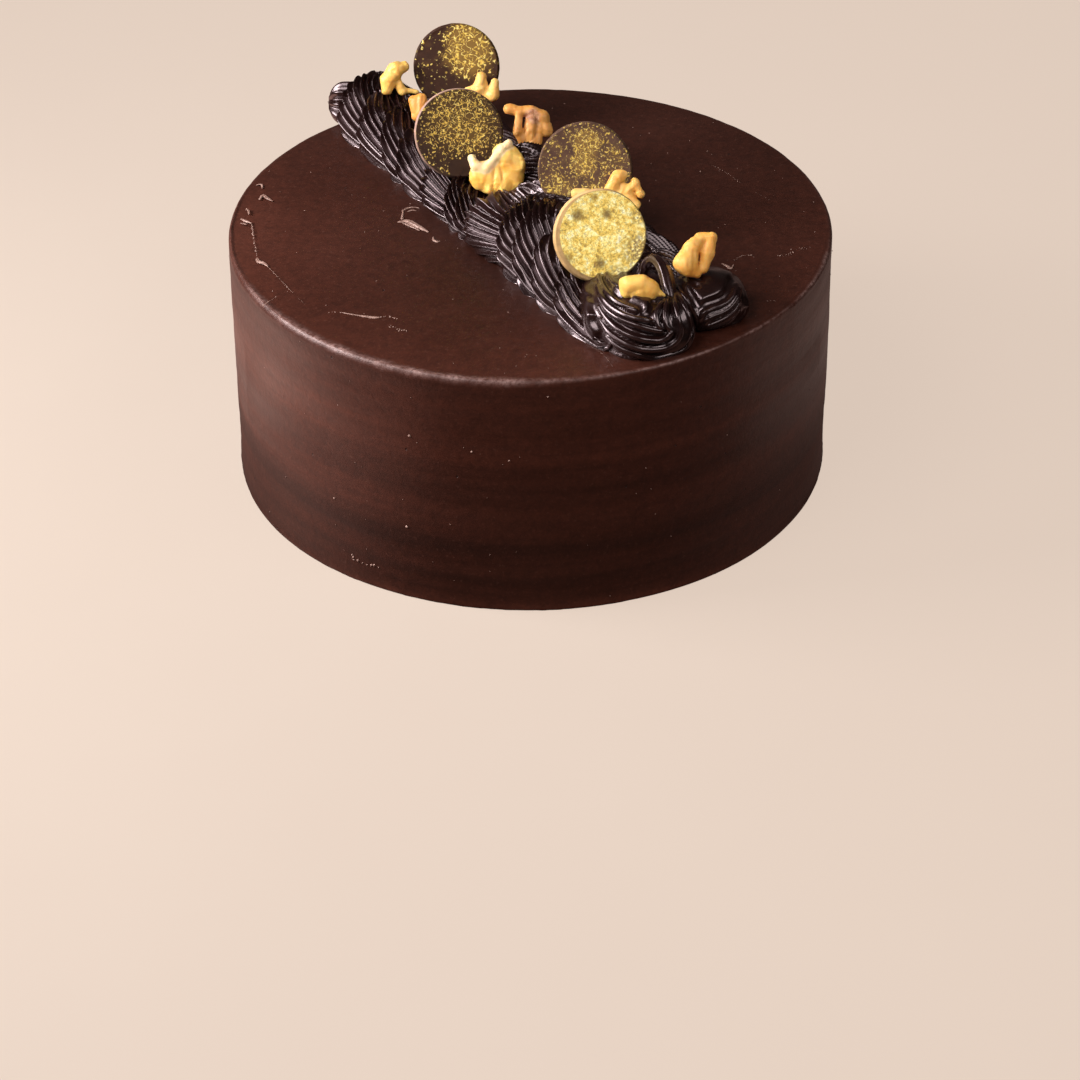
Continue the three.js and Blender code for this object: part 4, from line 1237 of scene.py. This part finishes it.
    # smooth leaf with a ridge
    walnut_piece(9, (642, 290), (34.6, -74.4, 102.9), [
        ("rod", (629, 285, 0.3), 10.0, (641, 283, 0.5), 9.6), ("rod", (641, 284, 0.5), 9.6, (653, 288, 0.3), 8.0), ("rod", (653, 289, 0.3), 7.0, (664.5, 295, 0), 2.0),
        ("rod", (640, 292, 0.2), 8.5, (644, 305, -0.2), 1.8), ("rod", (624, 282, 0), 5.6, (625, 293, 0), 5.6), ("rod", (634, 292, 0), 7, (652, 293, 0), 6)], 0.30,
        [((646, 282, 4), (660, 292, 4), 0.5, 0.2), ((630, 296, 3), (650, 298, 3), 0.5, 0.2)],
        (0.92, 0.58, 0.17), (0.82, 0.43, 0.09), (0.45, 0.17, 0.02), rough=0.07, folds=0.05)


place_walnuts()


# -------------------------------------------------- scuffs, flakes, crumbs
def marks():
    rng = np.random.default_rng(77)
    parts = []

    def trail(points, sizes, gap, jitter=0.35, flat=0.5, lift=0.05):
        p = spline([np.r_[x, y] for x, y in points], 12)
        s = np.r_[0, np.cumsum(np.linalg.norm(np.diff(p, axis=0), axis=1))]
        at = 0.0
        while at < s[-1]:
            x, y = np.interp(at, s, p[:, 0]), np.interp(at, s, p[:, 1])
            size = rng.uniform(*sizes)
            parts.append(crumb((x + rng.normal() * jitter, y + rng.normal() * jitter, TOP + lift), size, int(rng.integers(1e6)), flat))
            at += gap * rng.uniform(0.5, 1.5)

    def ridge(points, widths, high, seed, step=0.35):
        p = spline([np.r_[x, y, TOP + 0.02, w] for (x, y), w in zip(points, widths)], 8)
        v, f = ribbed_tube(p, teeth=5, depth=0.3, step=step, seed=seed, closed=(0.1, 0.1), sharp=0.3, squash=high, wobble=2.0)
        parts.append((v, f))

    # torn film of frosting left of the rope
    ridge([(-43.9, 1.2), (-41.0, 1.8), (-38.4, -0.6), (-36.0, -3.2), (-33.6, -5.8)], [0.25, 1.05, 1.15, 0.85, 0.3], 0.40, 1)
    ridge([(-42.3, 0.6), (-39.6, -1.6), (-36.6, -4.6)], [0.2, 0.5, 0.2], 0.5, 2)
    ridge([(-42.6, 3.2), (-42.5, 6.4), (-42.5, 9.4)], [0.5, 0.35, 0.3], 0.6, 3)
    ridge([(-42.5, 9.2), (-40.6, 11.0), (-38.4, 11.4), (-37.2, 10.6)], [0.3, 0.35, 0.25, 0.2], 0.6, 4)
    ridge([(-40.9, 8.4), (-39.4, 9.4), (-38.0, 9.0)], [0.2, 0.28, 0.15], 0.6, 5)
    ridge([(-31.9, -9.0), (-31.8, -11.0), (-30.8, -12.3), (-29.6, -11.9)], [0.22, 0.36, 0.38, 0.18], 0.9, 6)
    # nicks near the left edge
    ridge([(-92.6, 28.0), (-90.9, 28.2), (-90.4, 25.6)], [0.25, 0.4, 0.2], 0.5, 7)
    ridge([(-90.9, 17.6), (-89.9, 20.6), (-88.4, 18.6), (-86.4, 16.4)], [0.3, 0.55, 0.6, 0.2], 0.5, 8)
    ridge([(-94.9, 11.4), (-93.9, 9.4), (-93.8, 7.4)], [0.2, 0.4, 0.25], 0.5, 9)
    ridge([(-96.2, 4.4), (-94.6, 2.8), (-92.4, 1.2)], [0.25, 0.55, 0.35], 0.5, 10)
    ridge([(-96.0, 1.3), (-94.0, 0.4)], [0.3, 0.3], 0.5, 11)
    trail([(-92.2, 0.0), (-91.5, -5.5), (-90.8, -10.2), (-90.2, -14.9), (-88.9, -21.0)], (0.14, 0.34), 0.9, 0.12)
    ridge([(-89.1, -22.2), (-88.4, -24.6), (-86.6, -25.8), (-85.2, -27.8)], [0.35, 0.75, 0.6, 0.25], 0.45, 12)
    trail([(-85.0, -28.3), (-81.8, -34.2), (-78.8, -40.0), (-76.0, -45.2)], (0.08, 0.16), 0.35, 0.05, 0.4)
    trail([(-74.4, -48.2), (-71.6, -52.4)], (0.06, 0.13), 0.5, 0.05, 0.4)
    # long nick at the front left
    ridge([(-60.4, -57.6), (-57.0, -58.9), (-54.6, -59.6)], [0.12, 0.26, 0.2], 0.5, 13)
    ridge([(-54.9, -59.6), (-52.0, -60.5), (-49.2, -61.2), (-47.6, -61.0)], [0.2, 0.5, 0.55, 0.2], 0.5, 14)
    trail([(-48.6, -61.4), (-45.0, -60.8), (-42.0, -62.2)], (0.12, 0.30), 0.55, 0.25)
    trail([(-63.8, -57.3), (-61.4, -57.6)], (0.12, 0.26), 0.8, 0.2)
    trail([(-43.8, -66.6), (-42.0, -68.0), (-39.6, -69.4), (-38.4, -69.0)], (0.16, 0.38), 0.55, 0.4)
    trail([(-85.3, -53.3), (-83.0, -50.2), (-81.0, -47.1)], (0.1, 0.3), 0.7, 0.12)
    # right of the rope
    trail([(66.2, -26.2), (68.9, -23.4), (71.5, -22.7), (72.6, -24.3)], (0.10, 0.22), 0.5, 0.12)
    ridge([(62.0, -28.2), (63.8, -30.2), (64.8, -31.6), (65.8, -29.0)], [0.2, 0.5, 0.4, 0.15], 0.5, 15)
    trail([(80.4, -23.6), (83.4, -23.0), (86.0, -21.0), (90.8, -18.2)], (0.08, 0.24), 0.5, 0.7)
    trail([(61.8, 40.0), (66.3, 34.8), (71.0, 27.5)], (0.06, 0.16), 0.6, 0.08, 0.4)
    trail([(75.6, 20.3), (80.3, 14.6)], (0.06, 0.13), 0.9, 0.1, 0.4)
    trail([(18.5, -79.6), (21.5, -83.2), (23.9, -88.1), (25.2, -92.0)], (0.05, 0.10), 0.3, 0.03, 0.4)
    trail([(75.4, -52.6), (78.2, -52.4)], (0.12, 0.22), 0.8, 0.15)
    # specks scattered over the top and the side
    for _ in range(150):
        r, a = 97 * math.sqrt(rng.uniform(0.02, 1)), rng.uniform(0, 2 * math.pi)
        x, y = r * math.cos(a), r * math.sin(a)
        if abs(x * ROW_N[0] + y * ROW_N[1]) < 27:
            continue
        parts.append(crumb((x, y, TOP + 0.02), rng.uniform(0.09, 0.21), int(rng.integers(1e6)), 0.6))
    for _ in range(110):
        a, z = rng.uniform(0, 2 * math.pi), rng.uniform(3, 83)
        v, f = crumb((0, 0, 0), rng.uniform(0.08, 0.19), int(rng.integers(1e6)), 1.0)
        parts.append((v + [100.05 * math.cos(a), 100.05 * math.sin(a), z], f))
    # beads low on the left front, and a few round the cake
    for deg, z, size in ((234.2, 9.1, 0.34), (234.5, 8.4, 0.42), (234.6, 7.5, 0.36), (235.6, 7.9, 0.5), (236.6, 7.5, 0.3), (237.6, 7.4, 0.34),
                         (238.6, 7.9, 0.38), (239.2, 8.3, 0.42), (240.2, 8.0, 0.26), (247.6, 61.8, 0.42), (230.5, 28.6, 0.36),
                         (246.5, 27.0, 0.46), (259.3, 59.4, 0.34), (273.0, 80.3, 0.3), (266.0, 56.9, 0.34)):
        a = math.radians(deg)
        v, f = crumb((0, 0, 0), size, int(rng.integers(1e6)), 1.0)
        parts.append((v + [100.0 * math.cos(a), 100.0 * math.sin(a), z], f))
    v, f = joined(parts)
    finish_piece(make_piece("frosting_scuffs", v, f, SCUFF), [])


marks()


# ------------------------------------------------------- floor, light, world
def stage():
    m = Material("floor")
    obj = m.coords()
    cloud = m.noise(obj, 5, detail=4, rough=0.6)
    base = m.ramp(cloud, (0.3, (0.095, 0.080, 0.067)), (0.7, (0.105, 0.090, 0.076)))
    m.set(Base_Color=base, Roughness=0.8)
    m.shader.inputs["Emission Color"].default_value = (0.70, 0.570, 0.480, 1)
    m.shader.inputs["Emission Strength"].default_value = 0.97
    m.shader.inputs["Specular IOR Level"].default_value = 0.1
    data = bpy.data.meshes.new("floor")
    s = 12.0
    data.from_pydata([(-s, -s, 0), (s, -s, 0), (s, s, 0), (-s, s, 0)], [], [(0, 1, 2, 3)])
    data.materials.append(m.m)
    floor = bpy.data.objects.new("floor", data)
    bpy.context.scene.collection.objects.link(floor)
    floor.location.z = -0.0001
    floor.visible_diffuse = False
    floor.visible_glossy = False


stage()


def direction(az, el):
    """Unit vector at an azimuth (0 is +X, 90 is +Y) and an elevation, in degrees."""
    a, e = math.radians(az), math.radians(el)
    return Vector((math.cos(e) * math.cos(a), math.cos(e) * math.sin(a), math.sin(e)))


# Soft boxes round the cake: azimuth, elevation, distance, size in metres, watts, colour.
SOFTBOXES = {
    "left_front": (228, 52, 1.4, (0.8, 0.6), 11.0, (1.0, 0.95, 0.94)),
    "near_left": (188, 30, 0.50, (0.26, 0.20), 4.1, (1.0, 0.95, 0.95)),
    "right_front": (318, 45, 1.5, (0.8, 0.6), 6.5, (1.0, 0.95, 0.92)),
}

# Low cards that throw light up at the side: azimuth, distance of the near
# edge, size in metres, watts, colour.
CARDS = {
    "card_left_back": (150, 0.136, (0.16, 0.14), 0.038, (1.0, 0.66, 0.56)),
    "card_left": (180, 0.136, (0.16, 0.14), 0.135, (1.0, 0.66, 0.56)),
    "card_left_front": (212, 0.136, (0.16, 0.14), 0.049, (1.0, 0.62, 0.52)),
    "card_right": (0, 0.136, (0.16, 0.14), 0.030, (1.0, 0.70, 0.60)),
    "card_right_back": (32, 0.136, (0.16, 0.14), 0.010, (1.0, 0.70, 0.60)),
}

# Soft patches of the world's light: azimuth, elevation, half width where it
# is full, half width where it ends, strength, colour.
PATCHES = {
    "dome": (0, 90, 40, 130, 0.02, (1.0, 0.95, 0.90)),
    "back_wall": (90, 14, 10, 50, 0.03, (1.0, 0.94, 0.88)),
    "table_left_back": (150, -34, 8, 32, 0.19, (1.0, 0.60, 0.50)),
    "table_left": (180, -34, 8, 32, 0.90, (1.0, 0.60, 0.50)),
    "table_front": (270, -34, 20, 60, 0.25, (1.0, 0.50, 0.36)),
    "table_right": (0, -34, 8, 36, 0.26, (1.0, 0.60, 0.50)),
    "table_back": (90, -34, 20, 60, 0.20, (1.0, 0.60, 0.50)),
}


def lamp(name, at, facing, size, power, color):
    data = bpy.data.lights.new("soft_" + name, "AREA")
    data.shape = "RECTANGLE"
    data.size, data.size_y = size
    data.energy = power
    data.color = color
    obj = bpy.data.objects.new("soft_" + name, data)
    bpy.context.scene.collection.objects.link(obj)
    obj.location = at
    obj.rotation_mode = "QUATERNION"
    obj.rotation_quaternion = facing.to_track_quat("-Z", "Y")
    obj.visible_camera = False
    return obj


def softboxes():
    for name, (az, el, far, size, power, color) in SOFTBOXES.items():
        d = direction(az, el)
        lamp(name, d * far + Vector((0, 0, 0.07)), -d, size, power, color)
    for name, (az, near, size, power, color) in CARDS.items():
        d = direction(az, 0)
        obj = lamp(name, d * (near + size[1] / 2) + Vector((0, 0, 0.001)), Vector((0, 0, 1)), size, power, color)
        obj.rotation_mode = "XYZ"
        obj.rotation_euler = (math.pi, 0, math.radians(az) + math.pi / 2)


softboxes()


def small_light():
    """A narrow soft beam on the leaf covered disc."""
    aim = Vector(DISCS[3]["at"]) * MM
    data = bpy.data.lights.new("soft_beam", "SPOT")
    data.energy = 15.0
    data.color = (1.0, 0.96, 0.86)
    data.spot_size = math.radians(2.3)
    data.spot_blend = 0.6
    data.shadow_soft_size = 0.02
    obj = bpy.data.objects.new("soft_beam", data)
    bpy.context.scene.collection.objects.link(obj)
    d = direction(262, 38)
    obj.location = aim + d * 1.0
    obj.rotation_mode = "QUATERNION"
    obj.rotation_quaternion = (-d).to_track_quat("-Z", "Y")


small_light()


def world():
    w = bpy.data.worlds.new("studio")
    bpy.context.scene.world = w
    w.use_nodes = True
    t = w.node_tree
    t.nodes.clear()
    out = t.nodes.new("ShaderNodeOutputWorld")
    where = t.nodes.new("ShaderNodeTexCoord").outputs["Generated"]
    total = None
    for name, (az, el, inner, outer, strength, color) in PATCHES.items():
        dot = t.nodes.new("ShaderNodeVectorMath")
        dot.operation = "DOT_PRODUCT"
        t.links.new(where, dot.inputs[0])
        dot.inputs[1].default_value = direction(az, el)
        near = t.nodes.new("ShaderNodeMapRange")
        near.interpolation_type = "SMOOTHSTEP"
        t.links.new(dot.outputs["Value"], near.inputs["Value"])
        near.inputs["From Min"].default_value = math.cos(math.radians(outer))
        near.inputs["From Max"].default_value = math.cos(math.radians(inner))
        bg = t.nodes.new("ShaderNodeBackground")
        bg.name = name
        bg.inputs["Color"].default_value = rgba(color)
        times = t.nodes.new("ShaderNodeMath")
        times.operation = "MULTIPLY"
        times.name = "amount_" + name
        t.links.new(near.outputs[0], times.inputs[0])
        times.inputs[1].default_value = strength
        t.links.new(times.outputs[0], bg.inputs["Strength"])
        if total is None:
            total = bg.outputs[0]
        else:
            add = t.nodes.new("ShaderNodeAddShader")
            t.links.new(total, add.inputs[0])
            t.links.new(bg.outputs[0], add.inputs[1])
            total = add.outputs[0]
    t.links.new(total, out.inputs[0])


world()

scene = bpy.context.scene
scene.view_settings.view_transform = "Standard"
scene.view_settings.look = "None"
scene.view_settings.exposure = 0.0
scene.view_settings.gamma = 1.0
scene.cycles.max_bounces = 8
scene.cycles.use_denoising = True
